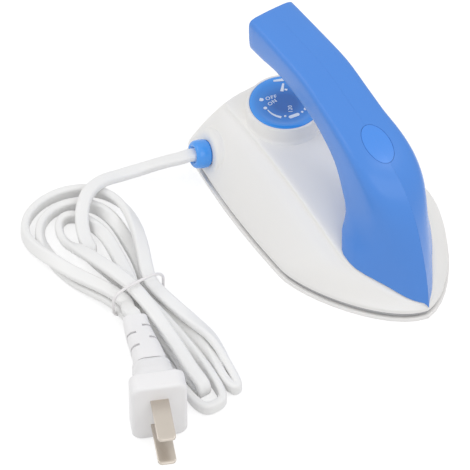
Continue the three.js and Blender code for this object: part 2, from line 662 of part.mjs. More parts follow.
// Cord entry: a turned sleeve with a waist that the boss wall sits in, bored for the flat cord
function flat_shape(grow) {
  const [w, t] = [cord.width / 2 + grow, cord.thick / 2 + grow];
  const shape = new THREE.Shape();
  shape.moveTo(-w, 0);
  shape.lineTo(-w * cord.round_share, -t);
  shape.lineTo(w * cord.round_share, -t);
  shape.lineTo(w, 0);
  shape.lineTo(w * cord.round_share, t);
  shape.lineTo(-w * cord.round_share, t);
  shape.closePath();
  return shape;
}
const sleeve_turned = (() => {
  const [edge, inside] = [sleeve.edge, -shell.wall - gap];
  const profile = [
    [0, inside - sleeve.inner_thick], [sleeve.inner - edge / 2, inside - sleeve.inner_thick],
    [sleeve.inner, inside - sleeve.inner_thick + edge / 2], [sleeve.inner, inside], [sleeve.neck,
      inside], [sleeve.neck, gap],
    [sleeve.flange, gap], [sleeve.flange, edge], [sleeve.flange - edge * 0.25, sleeve.proud - edge],
    [sleeve.flange - edge * 0.7, sleeve.proud - edge * 0.3], [sleeve.flange - edge * 1.3, sleeve.proud],
    [0, sleeve.proud],
  ].map(([radius, z]) => new THREE.Vector2(radius, z));
  return solid(face_out(new THREE.LatheGeometry(profile, 26).rotateX(Math.PI / 2)));
})();
const sleeve_bore = (() => {
  const depth = sleeve.proud + shell.wall * 2 + sleeve.inner_thick + 2 * overrun;
  const geometry = new THREE.ExtrudeGeometry(flat_shape(gap * 2), { depth, bevelEnabled: false });
  return solid(face_out(geometry, -depth + sleeve.proud + overrun));
})();
add('cord_sleeve', surface(cut(sleeve_turned, sleeve_bore)), 'blue');

// A flat cord along a path that lies level: each ring is level across, and tips only with the path's slope
function flat_ring(point, along, roll = 0) {
  const side = new THREE.Vector3().crossVectors(up, along).normalize();
  const over = new THREE.Vector3().crossVectors(along, side).normalize();
  const across = side.clone().multiplyScalar(Math.cos(roll)).addScaledVector(over, Math.sin(roll));
  const through = over.clone().multiplyScalar(Math.cos(roll)).addScaledVector(side, -Math.sin(roll));
  const [w, t, share] = [cord.width / 2, cord.thick / 2, cord.round_share];
  return [[-1, 0], [-share, -1], [share, -1], [1, 0], [share, 1], [-share, 1]].map(([a, b]) => (
    point.clone().addScaledVector(across, a * w).addScaledVector(through, b * t)));
}

function flat_cord(points, rolls = []) {
  return loft(points.map((point, i) => {
    const along = new THREE.Vector3().subVectors(points[Math.min(i + 1, points.length - 1)],
      points[Math.max(i - 1, 0)]);
    return flat_ring(point, along.normalize(), rolls[i] ?? 0);
  }));
}

const smooth = (points, steps) => new THREE.CatmullRomCurve3(points, false,
  'centripetal').getSpacedPoints(steps);

const lead_start = out_by(-gap / 2 - sleeve.edge);
const inner_start = out_by(-gap / 2 - sleeve.edge - gap);
const inner_lead_points = smooth([
  inner_start, out_by(-shell.wall * 2 - sleeve.inner_thick),
  at(clamp_x + cord.width * 0.38, clamp_y - cord.width * 1.36, lead_rise - cord.thick * 0.8),
  at(clamp_x + cord.width * 0.06, clamp_y - cord.width * 0.6, lead_rise),
  at(clamp_x, clamp_y, lead_rise), at(clamp_x, clamp_y + cord.width, lead_rise),
], 22);
add('inner_lead', flat_cord(inner_lead_points), 'sheath');

// Clamp bar and its two screws, driven up into the shell
const clamp_bar = cut(
  block_between(
    at(clamp_x - clamp.length / 2, clamp_y - clamp.width / 2, clamp_z),
    at(clamp_x + clamp.length / 2, clamp_y + clamp.width / 2, clamp_z + clamp.thick),
  ),
  ...clamp_spots.map(([x, y]) => post_at(clamp.radius + gap, x, y, clamp_z - overrun,
    clamp_z + clamp.thick + overrun, 16)),
);
add('cord_clamp', surface(clamp_bar), 'tan');
clamp_spots.forEach(([x, y], i) => {
  const body = screw_body(x, y, clamp_z + clamp.thick + clamp.bite, clamp_z - gap / 3, clamp);
  add(`clamp_screw_${i + 1}`, surface(body), 'steel');
});

// Terminal block with two bores along x and two screws from above
const block_low = cover_low + cover.sheet + gap;
const block_high = block_low + block.height;
const bore_z = block_low + block.height / 2;
const bores = [block.y - block.pitch / 2, block.y + block.pitch / 2];
const [block_back, block_front] = [block_x - block.length / 2, block_x + block.length / 2];
const terminal_block = cut(
  block_between(
    at(block_back, block.y - block.width / 2, block_low), at(block_front, block.y + block.width / 2,
      block_high)),
  ...bores.map((y) => rod(block.bore, at(block_back - overrun, y, bore_z), at(block_front + overrun, y,
    bore_z), 16)),
  ...bores.map((y) => post_at(block.screw + gap, block_x, y, block_high - block.depth, block_high + overrun,
    16)),
);
add('terminal_block', surface(terminal_block), 'ceramic');
bores.forEach((y, i) => {
  const size = { ...screw, radius: block.screw / 2, head: block.screw, head_thick: screw.head_thick };
  const seat = block_high - size.head_thick;
  add(`terminal_screw_${i + 1}`, surface(screw_body(block_x, y, block_high - block.depth + gap, seat,
    size)), 'brass');
});

// Thermal fuse on the left, with tapered ends
const fuse_at = at(dial_x + fuse.ahead, element_half + fuse.aside, cover_top + fuse.radius + fuse.above);
const fuse_profile = [
  [0, -fuse.length / 2 - fuse.nose_length], [fuse.nose / 2, -fuse.length / 2 - fuse.nose_length],
  [fuse.radius, -fuse.length / 2], [fuse.radius, fuse.length / 2],
  [fuse.nose / 2, fuse.length / 2 + fuse.nose_length], [0, fuse.length / 2 + fuse.nose_length],
].map(([radius, z]) => new THREE.Vector2(radius, z));
const fuse_body = new THREE.LatheGeometry(fuse_profile,
  20).rotateZ(-Math.PI / 2).translate(...fuse_at.toArray());
add('thermal_fuse', surface(solid(fuse_body)), 'tan');

// Handle: one skin lofted from the rear of the grip, over the bend and down to a leaf-shaped foot. Each
// row of
// shares gives the top point (x, z), the bottom point (x, z), the half width and how far the section is a
// foot.
const handle_rows_shares = [
  [-0.703, 0.998, -0.7, 0.797, 0.288, 0],
  [-0.56, 1, -0.56, 0.805, 0.288, 0],
  [-0.42, 0.997, -0.42, 0.822, 0.29, 0],
  [-0.125, 0.985, -0.19, 0.808, 0.3, 0],
  [0.075, 0.937, 0.01, 0.762, 0.305, 0],
  [0.243, 0.894, 0.132, 0.712, 0.318, 0.03],
  [0.42, 0.85, 0.235, 0.668, 0.345, 0.05],
  [0.57, 0.795, 0.305, 0.608, 0.37, 0.15],
  [0.7, 0.72, 0.356, 0.53, 0.395, 0.33],
  [0.8, 0.62, 0.39, 0.448, 0.402, 0.56],
  [0.87, 0.5, 0.42, 0.372, 0.45, 0.78],
  [0.928, 0.365, 0.45, 0.305, 0.515, 0.93],
  [0.966, 0.24, 0.465, 0.24, 0.532, 1],
  [0.985, 0.15, 0.47, 0.17, 0.534, 1],
  [0.995, 0.08, 0.475, 0.1, 0.534, 1],
];
const grip_section_shares = [
  [0, 1], [0.45, 0.993], [0.82, 0.965], [0.95, 0.905], [1, 0.79], [1, 0.42], [0.965, 0.09], [0.86,
    0.015], [0.5, 0], [0, 0],
];
const foot_section_shares = [
  [0, 1], [0.234, 0.875], [0.41, 0.7475], [0.57, 0.613], [0.72, 0.495], [0.863, 0.364], [0.96,
    0.22], [0.985, 0.09],
  [0.82, 0], [0, 0],
];

function handle_skin(wall) {
  const rows = handle_rows_shares.map(([tx, tz, bx, bz, w, foot]) => ({
    top: at(tx * half_length, 0, tz * handle_height),
    bottom: at(bx * half_length, 0, bz * handle_height),
    half: w * half_width,
    foot,
  }));
  const ends = wall > 0 ? [] : [[0.5, 1], [0.15, 0.45]];
  const ring = (row, shrink, push) => {
    const span = new THREE.Vector3().subVectors(row.top, row.bottom);
    const trim = (wall + (1 - shrink) * grip.end_round) / span.length();
    const low = row.bottom.clone().addScaledVector(span, trim);
    const high = row.top.clone().addScaledVector(span, -trim);
    const half = row.half - wall - (1 - shrink) * grip.end_round;
    const one_side = grip_section_shares.map(([ga, gs], i) => {
      const [fa, fs] = foot_section_shares[i];
      const across = THREE.MathUtils.lerp(ga, fa, row.foot) * half;
      const point = low.clone().lerp(high, THREE.MathUtils.lerp(gs, fs, row.foot));
      return at(point.x - push, -across, point.z);
    });
    return [...one_side, ...one_side.slice(1, -1).reverse().map((p) => at(p.x, -p.y, p.z))];
  };
  const rings = rows.map((row) => ring(row, 1, 0));
  if (wall > 0) {
    rings.shift();
    rings.unshift(ring(rows[0], 1, -wall));
  } else {
    ends.forEach(([push, shrink]) => rings.unshift(ring(rows[0], shrink, push * grip.end_round)));
  }
  return solid(loft(rings));
}

const handle_outer = handle_skin(0);
const handle_inner = handle_skin(grip.wall);
const seat_hull = hull(shell.inset - 1.5 * gap, shell.seam - overrun);
const [, , , , , row_before, lens_row, row_after, front_row] = handle_rows_shares;
const lens_turn = Math.atan2(
  (row_before[1] - row_after[1]) * handle_height, (row_after[0] - row_before[0]) * half_length);
const lens_spot = at(lens_row[0] * half_length, 0, lens_row[1] * handle_height);
const on_lens = (geometry) => geometry.rotateY(lens_turn).translate(...lens_spot.toArray());
function lens_prism(grow, low, high) {
  const shape = new THREE.Shape();
  shape.absellipse(0, 0, lens.length / 2 + grow, lens.width / 2 + grow, 0, Math.PI * 2);
  const settings = { depth: high - low, bevelEnabled: false, curveSegments: 12 };
  return solid(on_lens(new THREE.ExtrudeGeometry(shape, settings).translate(0, 0, low)));
}

const handle_bite = height_at(handle_x) + post.depth;
const handle_whole = (() => {
  const bosses = handle_posts.map(([x, y]) => post_at(post.radius, x, y, 0, handle_bite + overrun));
  const holes = handle_posts.map(([x, y]) => post_at(screw.radius + gap, x, y, 0, handle_bite + gap, 16));
  const body = cut(handle_outer, cut(handle_inner, join(...bosses)));
  return cut(body, seat_hull, lens_prism(gap, -lens.thick - overrun, lens.length), ...holes);
})();
const half_space = (side) => block_between(
  at(-iron_length, side > 0 ? gap / 2 : -iron_width, 0), at(iron_length, side > 0 ? iron_width : -gap / 2,
    2 * handle_height));
add('handle_left', surface(main_body(handle_whole.intersect(half_space(1)))), 'blue');
add('handle_right', surface(main_body(handle_whole.intersect(half_space(-1)))), 'blue');
const lens_body = handle_outer.intersect(lens_prism(0, -lens.thick, lens.length));
add('lamp_lens', surface(lens_body), 'lens');
handle_posts.forEach(([x, y], i) => {
  const name = ['handle_screw_left', 'handle_screw_right'][i];
  add(name, surface(screw_body(x, y, handle_bite, handle_head_top)), 'steel');
});

// Neon lamp under the lens and its resistor, lying along the arm
const lamp_profile = [
  [0, -lamp.length / 2], [lamp.radius * 0.8, -lamp.length / 2], [lamp.radius, -lamp.length / 2 + lamp.lead],
  [lamp.radius, lamp.length / 2 - lamp.tip], [lamp.radius * 0.6, lamp.length / 2 - lamp.tip / 3], [0,
    lamp.length / 2],
].map(([radius, z]) => new THREE.Vector2(radius, z));
const along_x = (profile, sides) => new THREE.LatheGeometry(profile, sides).rotateZ(-Math.PI / 2);
const lamp_level = -lens.thick - gap - lamp.radius;
add('neon_lamp', surface(solid(on_lens(along_x(lamp_profile, 20).translate(0, 0, lamp_level)))), 'glass');
const resistor_profile = [
  [0, -resistor.length / 2], [resistor.radius, -resistor.length / 2], [resistor.radius, resistor.length / 2],
  [0, resistor.length / 2],
].map(([radius, z]) => new THREE.Vector2(radius, z));
const hollow_floor = (row) => {
  const [tx, tz, bx, bz] = row;
  const bottom = at(bx * half_length, 0, bz * handle_height);
  const rise = at(tx * half_length, 0, tz * handle_height).sub(bottom).normalize();
  return bottom.addScaledVector(rise, grip.wall);
};
const [floor_above, resistor_floor, floor_below] = [lens_row, row_after, front_row].map(hollow_floor);
const floor_way = new THREE.Vector3().subVectors(floor_below, floor_above).normalize();
const resistor_spot = resistor_floor.addScaledVector(at(-floor_way.z, 0, floor_way.x), resistor.radius + gap);
const resistor_body = along_x(resistor_profile, 16).rotateY(Math.atan2(-floor_way.z, floor_way.x));
resistor_body.translate(resistor_spot.x, -resistor.aside, resistor_spot.z);
add('lamp_resistor', surface(solid(resistor_body)), 'tan');

// Wires inside. Each starts and ends a little short of what it serves.
const pin_end = element_end - pin_out;
const blade_z = levels[3].low + stack.blade / 2;
const upper_z = levels[5].low + stack.blade / 2;
const lead_end = at(clamp_x, clamp_y + cord.width + gap, lead_rise);
const [near_bore, far_bore] = bores;
const back_face = block_back - gap;
const front_face = block_front + gap;
const pin_y = element_half;
const b = wire.bend;
const [fuse_back, fuse_front] = [-1, 1].map((way) => fuse_at.x + way * (fuse.length / 2 + fuse.nose_length));
const wires = {
  live_wire: [
    [lead_end.x + wire.apart, lead_end.y, lead_rise], [lead_end.x + wire.apart + b * 0.1,
      lead_end.y + b * 0.8, lead_rise],
    [block_front + b * 1.3, near_bore - b * 1.2, lead_rise - b],
    [block_front + b * 1.8, near_bore - b * 0.4, bore_z + b * 1.8],
    [block_front + b * 1.2, near_bore, bore_z], [front_face, near_bore, bore_z],
  ],
  neutral_wire: [
    [lead_end.x - wire.apart, lead_end.y, lead_rise], [lead_end.x - wire.apart, near_bore - b * 0.5,
      lead_rise],
    [block_front + b * 0.2, far_bore - b * 2, lead_rise - b * 0.3],
    [block_front + b * 1.8, far_bore - b * 0.5, bore_z + b * 2],
    [block_front + b * 1.2, far_bore, bore_z], [front_face, far_bore, bore_z],
  ],
  element_wire_left: [
    [back_face, near_bore, bore_z], [back_face - b * 0.85, near_bore + b * 0.4, bore_z - b * 0.25],
    [back_face - b * 1.05, near_bore + b * 2.25, bore_z - b * 1.4],
    [back_face - b * 0.85, far_bore + b * 1.7, bore_z - b * 1.6],
    [block_back + b * 0.4, pin_y + b * 0.85, bore_z - b * 1.5],
    [pin_end - b * 1.7, pin_y + b * 0.3, element_z - b * 0.3], [pin_end - gap, pin_y, element_z],
  ],
  fuse_wire: [
    [back_face, far_bore, bore_z], [back_face - b * 0.9, far_bore + b * 0.5, bore_z + b * 1.2],
    [back_face - b * 0.3, far_bore + b * 2.3, bore_z + b * 3], [block_front, pin_y + b * 0.5, fuse_at.z],
    [fuse_back - b * 2, fuse_at.y, fuse_at.z], [fuse_back - gap, fuse_at.y, fuse_at.z],
  ],
  thermostat_wire: [
    [fuse_front + gap, fuse_at.y, fuse_at.z], [fuse_front + b * 1.5, fuse_at.y - b * 0.4, fuse_at.z],
    [tail - stack.washer + b * 0.5, fuse_at.y - b * 2.5, fuse_at.z - b * 0.2],
    [tail - b * 1.3, stack.width, blade_z + b * 0.7], [tail - b * 1.3, stack.width / 2 + gap * 2, blade_z],
  ],
  element_wire_right: [
    [tail - b * 1.3, -stack.width / 2 - gap * 2, upper_z], [tail - b * 1.5, -stack.width, upper_z + b * 0.4],
    [stack_x - b * 2.5, b * 0.5 - element_half, cover_top + b * 0.8],
    [dial_x, -element_half - b * 0.2, cover_top + b * 0.8],
    [element_end - b * 1.5, -element_half - b * 0.3, cover_top + b * 0.65],
    [element_end - b * 2.2, -element_half, cover_top - b],
    [element_end - b * 2.2, -element_half, element_z + pin.radius + gap],
  ],
};
Object.entries(wires).forEach(([name, rows], i) => {
  add(name, strand(rows.map((row) => at(...row)), wire.radius, 3), i % 2 ? 'neutral' : 'live');
});

// The flat cord outside. Seven slots cross the tied waist, each to one side of its middle and in the first,
// second or third layer. Each fold leaves the waist by one slot and comes back by the next, so the whole
// hank is one unbroken cord from the lead to the plug.
const slots = [
  { side: -5.8, layer: 1 }, { side: -6.7, layer: 0 }, { side: -1.4, layer: 2 }, { side: 0.4, layer: 0 },
  { side: 0.1, layer: 1 }, { side: 6.1, layer: 0 }, { side: 6.7, layer: 1 },
];
const folds = [
  { from: 4, to: 3, tip: 44.2, middle: -84.2, skew: -1.8, upright: true, sink_shares: [0.1, 1] },
  {
    from: 3, to: 5, tip: -51.7, middle: -81.5, skew: -0.8, half: 6, blunt: 2, roll_shares: [0.5, 0.99],
    sink_shares: [0.43, 0.83],
  },
  {
    from: 5, to: 2, tip: 50.9, middle: -84, skew: -1.7, half: 2.8, blunt: 3.2, roll_shares: [0.17, 0.99],
    sink_shares: [0.06, 0.71],
  },
  {
    from: 2, to: 6, tip: -57, middle: -82.4, skew: 0.1, half: 9.4, blunt: 2, roll_shares: [0.5, 1],
    sink_shares: [0.31, 0.73],
  },
  {
    from: 6, to: 7, tip: 48.5, middle: -70.6, skew: -4.7, half: 1.7, blunt: 2.4, roll_shares: [0.17, 1],
    sink_shares: [0.16, 1],
  },
  {
    from: 7, to: 1, tip: -63, middle: -81.1, skew: -0.3, half: 14.1, blunt: 2, roll_shares: [0.09, 1],
    sink_shares: [0.16, 1],
  },
];
// The lead's route: places from the boss, then places on the table
const lead_from_boss = [[2.7, 10, -0.8], [6.1, 14.6, 1.5]];
const lead_route = [
  [-54.3, -47.5, 5.4], [-55.9, -56, 5.6], [-55.7, -63.6, 7.4], [-53.6, -70.4, 8.2], [-49.6, -75.6, 7.9],
  [-44.8, -79.4, 6.1], [-39, -81.9, 3.9], [-33.4, -83.1, 2.5],
];
const teardrop_shares = { swell: 3.11, power: 3.07, fan: 0.36, fan_end: 0.37, centre_end: 1 };
const slot_y = (slot) => hank.y + slots[slot - 1].side;
const slot_layer = (slot) => slots[slot - 1].layer * hank.layer;
const ease = (share, [start, end]) => THREE.MathUtils.smoothstep(share, start, end);
const rest = cord.thick / 2 + hank.clear;
const lift_at = (x) => hank.lift * (1 - ease(Math.abs(x - hank.x) / hank.lift_reach, [0.3, 1]));

function level_fold(fold) {
  const reach_out = fold.tip - hank.x;
  const [start, end] = [slot_y(fold.from), slot_y(fold.to)];
  const way = Math.sign(end - start);
  const points = [];
  for (let i = 0; i <= hank.steps; i += 1) {
    const turn = Math.PI * (i / hank.steps - 0.5);
    const [c, s] = [Math.cos(turn), Math.sin(turn)];
    const out = 1 - Math.abs(s) ** fold.blunt;
    const lane = (((end - start) * s) / 2) * (1 + teardrop_shares.fan * ease(out, [0,
      teardrop_shares.fan_end]));
    const swell = way * fold.half * teardrop_shares.swell * s * Math.max(c, 0) ** teardrop_shares.power;
    const middle = THREE.MathUtils.lerp((start + end) / 2, fold.middle, ease(out, [0,
      teardrop_shares.centre_end]));
    const centre = middle + fold.skew * ease(out, [0.5, 1]);
    const roll = (Math.PI / 2) * ease(out, fold.roll_shares);
    const half_high = (cord.thick * Math.cos(roll) + cord.width * Math.sin(roll)) / 2;
    const above = slot_layer(s < 0 ? fold.from : fold.to);
    const upper = above > 0 ? 1 - ease(out, fold.sink_shares) : 0;
    const layer = upper * (2 * half_high + above - cord.thick);
    const x = hank.x + reach_out * out;
    points.push({ point: at(x, centre + lane + swell, hank.clear + half_high + layer + lift_at(x)), roll });
  }
  return points;
}

// The fold of the lead itself turns over in the upright plane, with its upper strand flat on top
function upright_fold(fold) {
  const points = [];
  const bend = hank.layer * hank.bend_share;
  const turns = hank.steps / 3;
  const runs = hank.steps / 3;
  const lane = (slot, share) => (
    THREE.MathUtils.lerp(slot_y(slot), fold.middle, ease(share, [0, 0.6])) + fold.skew * ease(share, [0.5,
      1]));
  const height = (share, top) => {
    const x = THREE.MathUtils.lerp(hank.x, fold.tip - bend, share);
    const above = slot_layer(fold.to);
    return rest + lift_at(x) + (top ? above + (bend * 2 - above) * ease(share, fold.sink_shares) : 0);
  };
  for (let i = 0; i <= runs; i += 1) {
    const share = i / runs;
    const x = THREE.MathUtils.lerp(hank.x, fold.tip - bend, share);
    points.push({ point: at(x, lane(fold.from, share), height(share, false)), roll: 0, across: at(0, 1, 0) });
  }
  for (let i = 1; i < turns; i += 1) {
    const angle = (Math.PI * i) / turns;
    const y = fold.middle + fold.skew;
    const point = at(fold.tip - bend + bend * Math.sin(angle), y, rest + bend - bend * Math.cos(angle));
    points.push({ point, roll: 0, across: at(0, 1, 0) });
  }
  for (let i = runs; i >= 0; i -= 1) {
    const share = i / runs;
    const x = THREE.MathUtils.lerp(hank.x, fold.tip - bend, share);
    points.push({ point: at(x, lane(fold.to, share), height(share, true)), roll: 0, across: at(0, 1, 0) });
  }
  return points;
}

// Rings of a flat cord. Each keeps the turn of the one before, so the sheath never twists between two rings.
function cord_rings(points) {
  let before = null;
  return points.map(({ point, roll, across }, i) => {
    const next = points[Math.min(i + 1, points.length - 1)].point;
    const last = points[Math.max(i - 1, 0)].point;
    const along = new THREE.Vector3().subVectors(next, last).normalize();
    const side = across ? across.clone() : new THREE.Vector3().crossVectors(up, along);
    side.addScaledVector(along, -side.dot(along)).normalize();
    const over = new THREE.Vector3().crossVectors(along, side).normalize();
    const wide = side.clone().multiplyScalar(Math.cos(roll)).addScaledVector(over, Math.sin(roll));
    if (before && wide.dot(before) < 0) wide.negate();
    before = wide.clone();
    const through = new THREE.Vector3().crossVectors(along, wide).normalize();
    const [w, t, share] = [cord.width / 2, cord.thick / 2, cord.round_share];
    return [[-1, 0], [-share, -1], [share, -1], [1, 0], [share, 1], [-share, 1]].map(([a, b]) => (
      point.clone().addScaledVector(wide, a * w).addScaledVector(through, b * t)));
  });
}

const entry_x = hank.x - hank.entry;
const hank_start = [0, 0.5, 1].map((share) => {
  const x = THREE.MathUtils.lerp(entry_x, hank.x - hank.stub, share);
  return { point: at(x, THREE.MathUtils.lerp(hank.entry_y, slot_y(4), ease(share, [0, 1])),
    rest + lift_at(x)), roll: 0 };
});

// Plug: lies on its narrow side; its axis runs from the tail of the strain relief to the face
const plug_turn = THREE.MathUtils.degToRad(plug.turn);
const plug_way = at(Math.cos(plug_turn), Math.sin(plug_turn), 0);
const face = at(plug.face_x, plug.face_y, plug.height / 2 + gap / 3);
const plug_at = (back, across = 0, rise = 0) => face.clone()
  .addScaledVector(plug_way, -back)
  .add(at(-plug_way.y * across, plug_way.x * across, rise));
const relief_start = plug.flange + plug.neck + gap;
const tail_back = relief_start + plug.relief;
const bent = (back) => ease((back - relief_start) / plug.relief, [0, 1]);
const tail_point = plug_at(tail_back + gap, plug.sway, -plug.droop);

const plug_side = at(hank.x, slot_y(1), rest + slot_layer(1) + hank.lift);
const hank_end = [
  plug_side.clone().add(at(tie.radius * 1.6, 0, 0)),
  plug_side.clone().lerp(tail_point, 0.5).add(at(0, -gap, gap)),
  tail_point.clone().addScaledVector(plug_way, -cord.thick * 0.8),
  tail_point,
].map((point) => ({ point, roll: 0 }));
const hank_points = [
  ...hank_start,
  ...folds.flatMap((fold, i) => (fold.upright ? upright_fold(fold) : level_fold(fold)).slice(i ? 1 : 0)),
  ...hank_end,
];
const hank_rings = cord_rings(hank_points);
add('cord_hank', loft(hank_rings), 'sheath');

// The least gap between two stretches of the hank, measured between points spread over its rings
function least_gap(rings) {
  const rounds = rings.map((ring) => ring.flatMap((p, i) => {
    const next = ring[(i + 1) % ring.length];
    return [p, p.clone().lerp(next, 0.33), p.clone().lerp(next, 0.67)];
  }));
  const spans = [];
  rounds.slice(1).forEach((ring, i) => {
    const apart = ring[0].distanceTo(rounds[i][0]);
    const parts = Math.max(1, Math.ceil(apart / (cord.thick / 2)));
    for (let k = 0; k < parts; k += 1) {
      const points = ring.map((p, j) => rounds[i][j].clone().lerp(p, k / parts));
      const middle = points.reduce((sum, p) => sum.add(p), at(0, 0, 0)).divideScalar(points.length);
      spans.push({ points, middle, along: (spans.at(-1)?.along ?? 0) + apart / parts });
    }
  });
  let least = { size: Infinity };
  spans.forEach((a, i) => spans.slice(i + 1).forEach((b) => {
    if (b.along - a.along < cord.width * 2.5 || a.middle.distanceTo(b.middle) > cord.width * 1.6) return;
    a.points.forEach((p) => b.points.forEach((q) => {
      const size = p.distanceTo(q);
      if (size < least.size) least = { size, place: p.clone().lerp(q, 0.5) };
    }));
  }));
  return least;
}
const closest = least_gap(hank_rings);
const cord_length = (points) => points.slice(1).reduce((sum, p, i) => sum + p.distanceTo(points[i]), 0);

// Lead: out of the sleeve, down to the table, over the far loops and down inside them to the waist
const lead_path = smooth([
  lead_start, out_by(sleeve.proud + sleeve.edge),
  ...lead_from_boss.map(([x, y, z]) => at(boss_x - x, boss_y - y, boss.z - z)),
  ...lead_route.map((place) => at(...place)),
  at(entry_x - 1.2 * cord.width, hank.entry_y - hank.clear * 2, rest + hank.clear), at(entry_x - gap,
    hank.entry_y, rest),
], 44);
add('cord_lead', loft(cord_rings(lead_path.map((point) => ({ point, roll: 0 })))), 'sheath');
const hank_length = cord_length(hank_points.map((p) => p.point));
console.log(`cord: lead ${cord_length(lead_path).toFixed(1)} mm, hank ${hank_length.toFixed(1)} mm`);
console.log(`least gap in the hank ${closest.size.toFixed(2)} mm`);

// Tie: a closed loop round the waist
const tie_ring = (() => {
  const half = Math.max(...slots.map(({ side }) => Math.abs(side))) + cord.width / 2 + tie.clear;
  const high = Math.max(...slots.map(({ layer }) => layer)) * hank.layer + cord.thick + hank.lift + tie.clear;
  const [wide, tall, t] = [half + 2 * tie.radius, high + 2 * tie.radius, 2 * tie.radius];
  const outline = (w, low, top, round) => {
    const shape = new THREE.Shape();
    shape.moveTo(-w + round, low);
    shape.lineTo(w - round, low);
    shape.quadraticCurveTo(w, low, w, low + round);
    shape.lineTo(w, top - round);
    shape.quadraticCurveTo(w, top, w - round, top);
    shape.lineTo(-w + round, top);
    shape.quadraticCurveTo(-w, top, -w, top - round);
    shape.lineTo(-w, low + round);
    shape.quadraticCurveTo(-w, low, -w + round, low);
    return shape;
  };
  const settings = { depth: t, bevelEnabled: false, curveSegments: 6 };
  const place = (geometry) => geometry.rotateX(Math.PI / 2).rotateZ(Math.PI / 2).translate(hank.x - t / 2,
    hank.y, 0);
  const outer = new THREE.ExtrudeGeometry(outline(wide, gap / 3, tall, t * 2), settings);
  const inner = new THREE.ExtrudeGeometry(outline(half, t + gap / 3, high, t), { ...settings, depth: t * 3 });
  return cut(solid(place(outer)), solid(place(inner).translate(-t, 0, 0)));
})();
add('twist_tie', surface(tie_ring), 'white');

// Plug body: flange and neck in one; behind it the ribbed, drooping strain relief; two flat pins
const plug_ring = (back, width, height, round_share, rise = 0, shift = 0) => {
  const [w, h] = [width / 2, height / 2];
  const k = 1 - round_share;
  return [
    [-w, -h * k], [-w * (1 - (1 - k) * 0.3), -h * (1 - (1 - k) * 0.3)], [-w * k, -h], [w * k, -h],
    [w * (1 - (1 - k) * 0.3), -h * (1 - (1 - k) * 0.3)], [w, -h * k], [w, h * k],
    [w * (1 - (1 - k) * 0.3), h * (1 - (1 - k) * 0.3)], [w * k, h], [-w * k, h],
    [-w * (1 - (1 - k) * 0.3), h * (1 - (1 - k) * 0.3)], [-w, h * k],
  ].map(([a, b]) => plug_at(back, a + shift, b + rise));
};
const plug_shell = solid(loft([
  plug_ring(0, plug.width - plug.taper, plug.height - plug.taper, 0.3),
  plug_ring(plug.taper / 2, plug.width, plug.height, 0.3),
  plug_ring(plug.flange - plug.taper, plug.width, plug.height, 0.3),
  plug_ring(plug.flange, plug.width - plug.taper, plug.height - plug.taper, 0.3),
  plug_ring(plug.flange + plug.taper, plug.neck_width + plug.taper / 2, plug.neck_height + plug.taper, 0.34),
  plug_ring(plug.flange + plug.shoulder, plug.neck_width, plug.neck_height, 0.36),
  plug_ring(plug.flange + plug.neck - plug.shoulder, plug.neck_width * 0.96, plug.neck_height * 0.92, 0.4),
  plug_ring(plug.flange + plug.neck - plug.taper / 2, plug.relief_width, plug.relief_height * 1.1, 0.5),
  plug_ring(plug.flange + plug.neck, plug.relief_width - plug.taper, plug.relief_height - plug.taper / 2,
    0.5),
]));
const prong_slots = [1, -1].map((side) => {
  const shape = plug_ring(-overrun, prong.width + gap, prong.thick + gap, 0.1, (side * prong.pitch) / 2);
  return solid(loft([shape, plug_ring(prong.root + gap, prong.width + gap, prong.thick + gap, 0.1,
    (side * prong.pitch) / 2)]));
});
add('plug_body', surface(cut(plug_shell, ...prong_slots)), 'sheath');
['plug_pin_upper', 'plug_pin_lower'].forEach((name, i) => {
  const rise = ((i ? -1 : 1) * prong.pitch) / 2;
  const tip = -prong.length;
  add(name, surface(solid(loft([
    plug_ring(prong.root, prong.width, prong.thick, 0.1, rise),
    plug_ring(tip + prong.tip, prong.width, prong.thick, 0.1, rise),
    plug_ring(tip + prong.tip * 0.3, prong.width - prong.tip * 0.8, prong.thick * 0.8, 0.1, rise),
    plug_ring(tip, prong.width - prong.tip * 1.8, prong.thick * 0.5, 0.1, rise),
  ]))), 'nickel');
});
const relief_rows = [0, 0.14, 0.3, 0.46, 0.62, 0.78, 1];
const relief_body = solid(loft(relief_rows.map((share) => plug_ring(
  relief_start + plug.relief * share,
  THREE.MathUtils.lerp(plug.relief_width - plug.taper, plug.tail_width, share),
  THREE.MathUtils.lerp(plug.relief_height, plug.tail_height, share),
  0.5, -plug.droop * bent(relief_start + plug.relief * share),
  plug.sway * bent(relief_start + plug.relief * share),
))));
const relief_grooves = plug.rib_shares.flatMap((share, i) => {
  const back = relief_start + plug.relief * share;
  const side = i % 2 ? 1 : -1;
  const half = THREE.MathUtils.lerp(plug.relief_width, plug.tail_width, share) / 2;
  const box = (b) => plug_ring(b, plug.rib_depth * 2, plug.relief_height * 2, 0.1, 0,
    side * half + plug.sway * bent(back));
  return [solid(loft([box(back), box(back + plug.rib)]))];
});
add('plug_strain_relief', surface(cut(relief_body, ...relief_grooves)), 'sheath');

export default iron;
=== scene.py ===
"""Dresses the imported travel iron: camera, cord, plug, body, dial, handle, sole, inner pieces, floor and lamps."""

import json
from math import atan2, copysign, cos, pi, radians, sin, sqrt, tan
from types import SimpleNamespace as Sizes

import bmesh
import bpy
from mathutils import Matrix, Vector
from mathutils.bvhtree import BVHTree


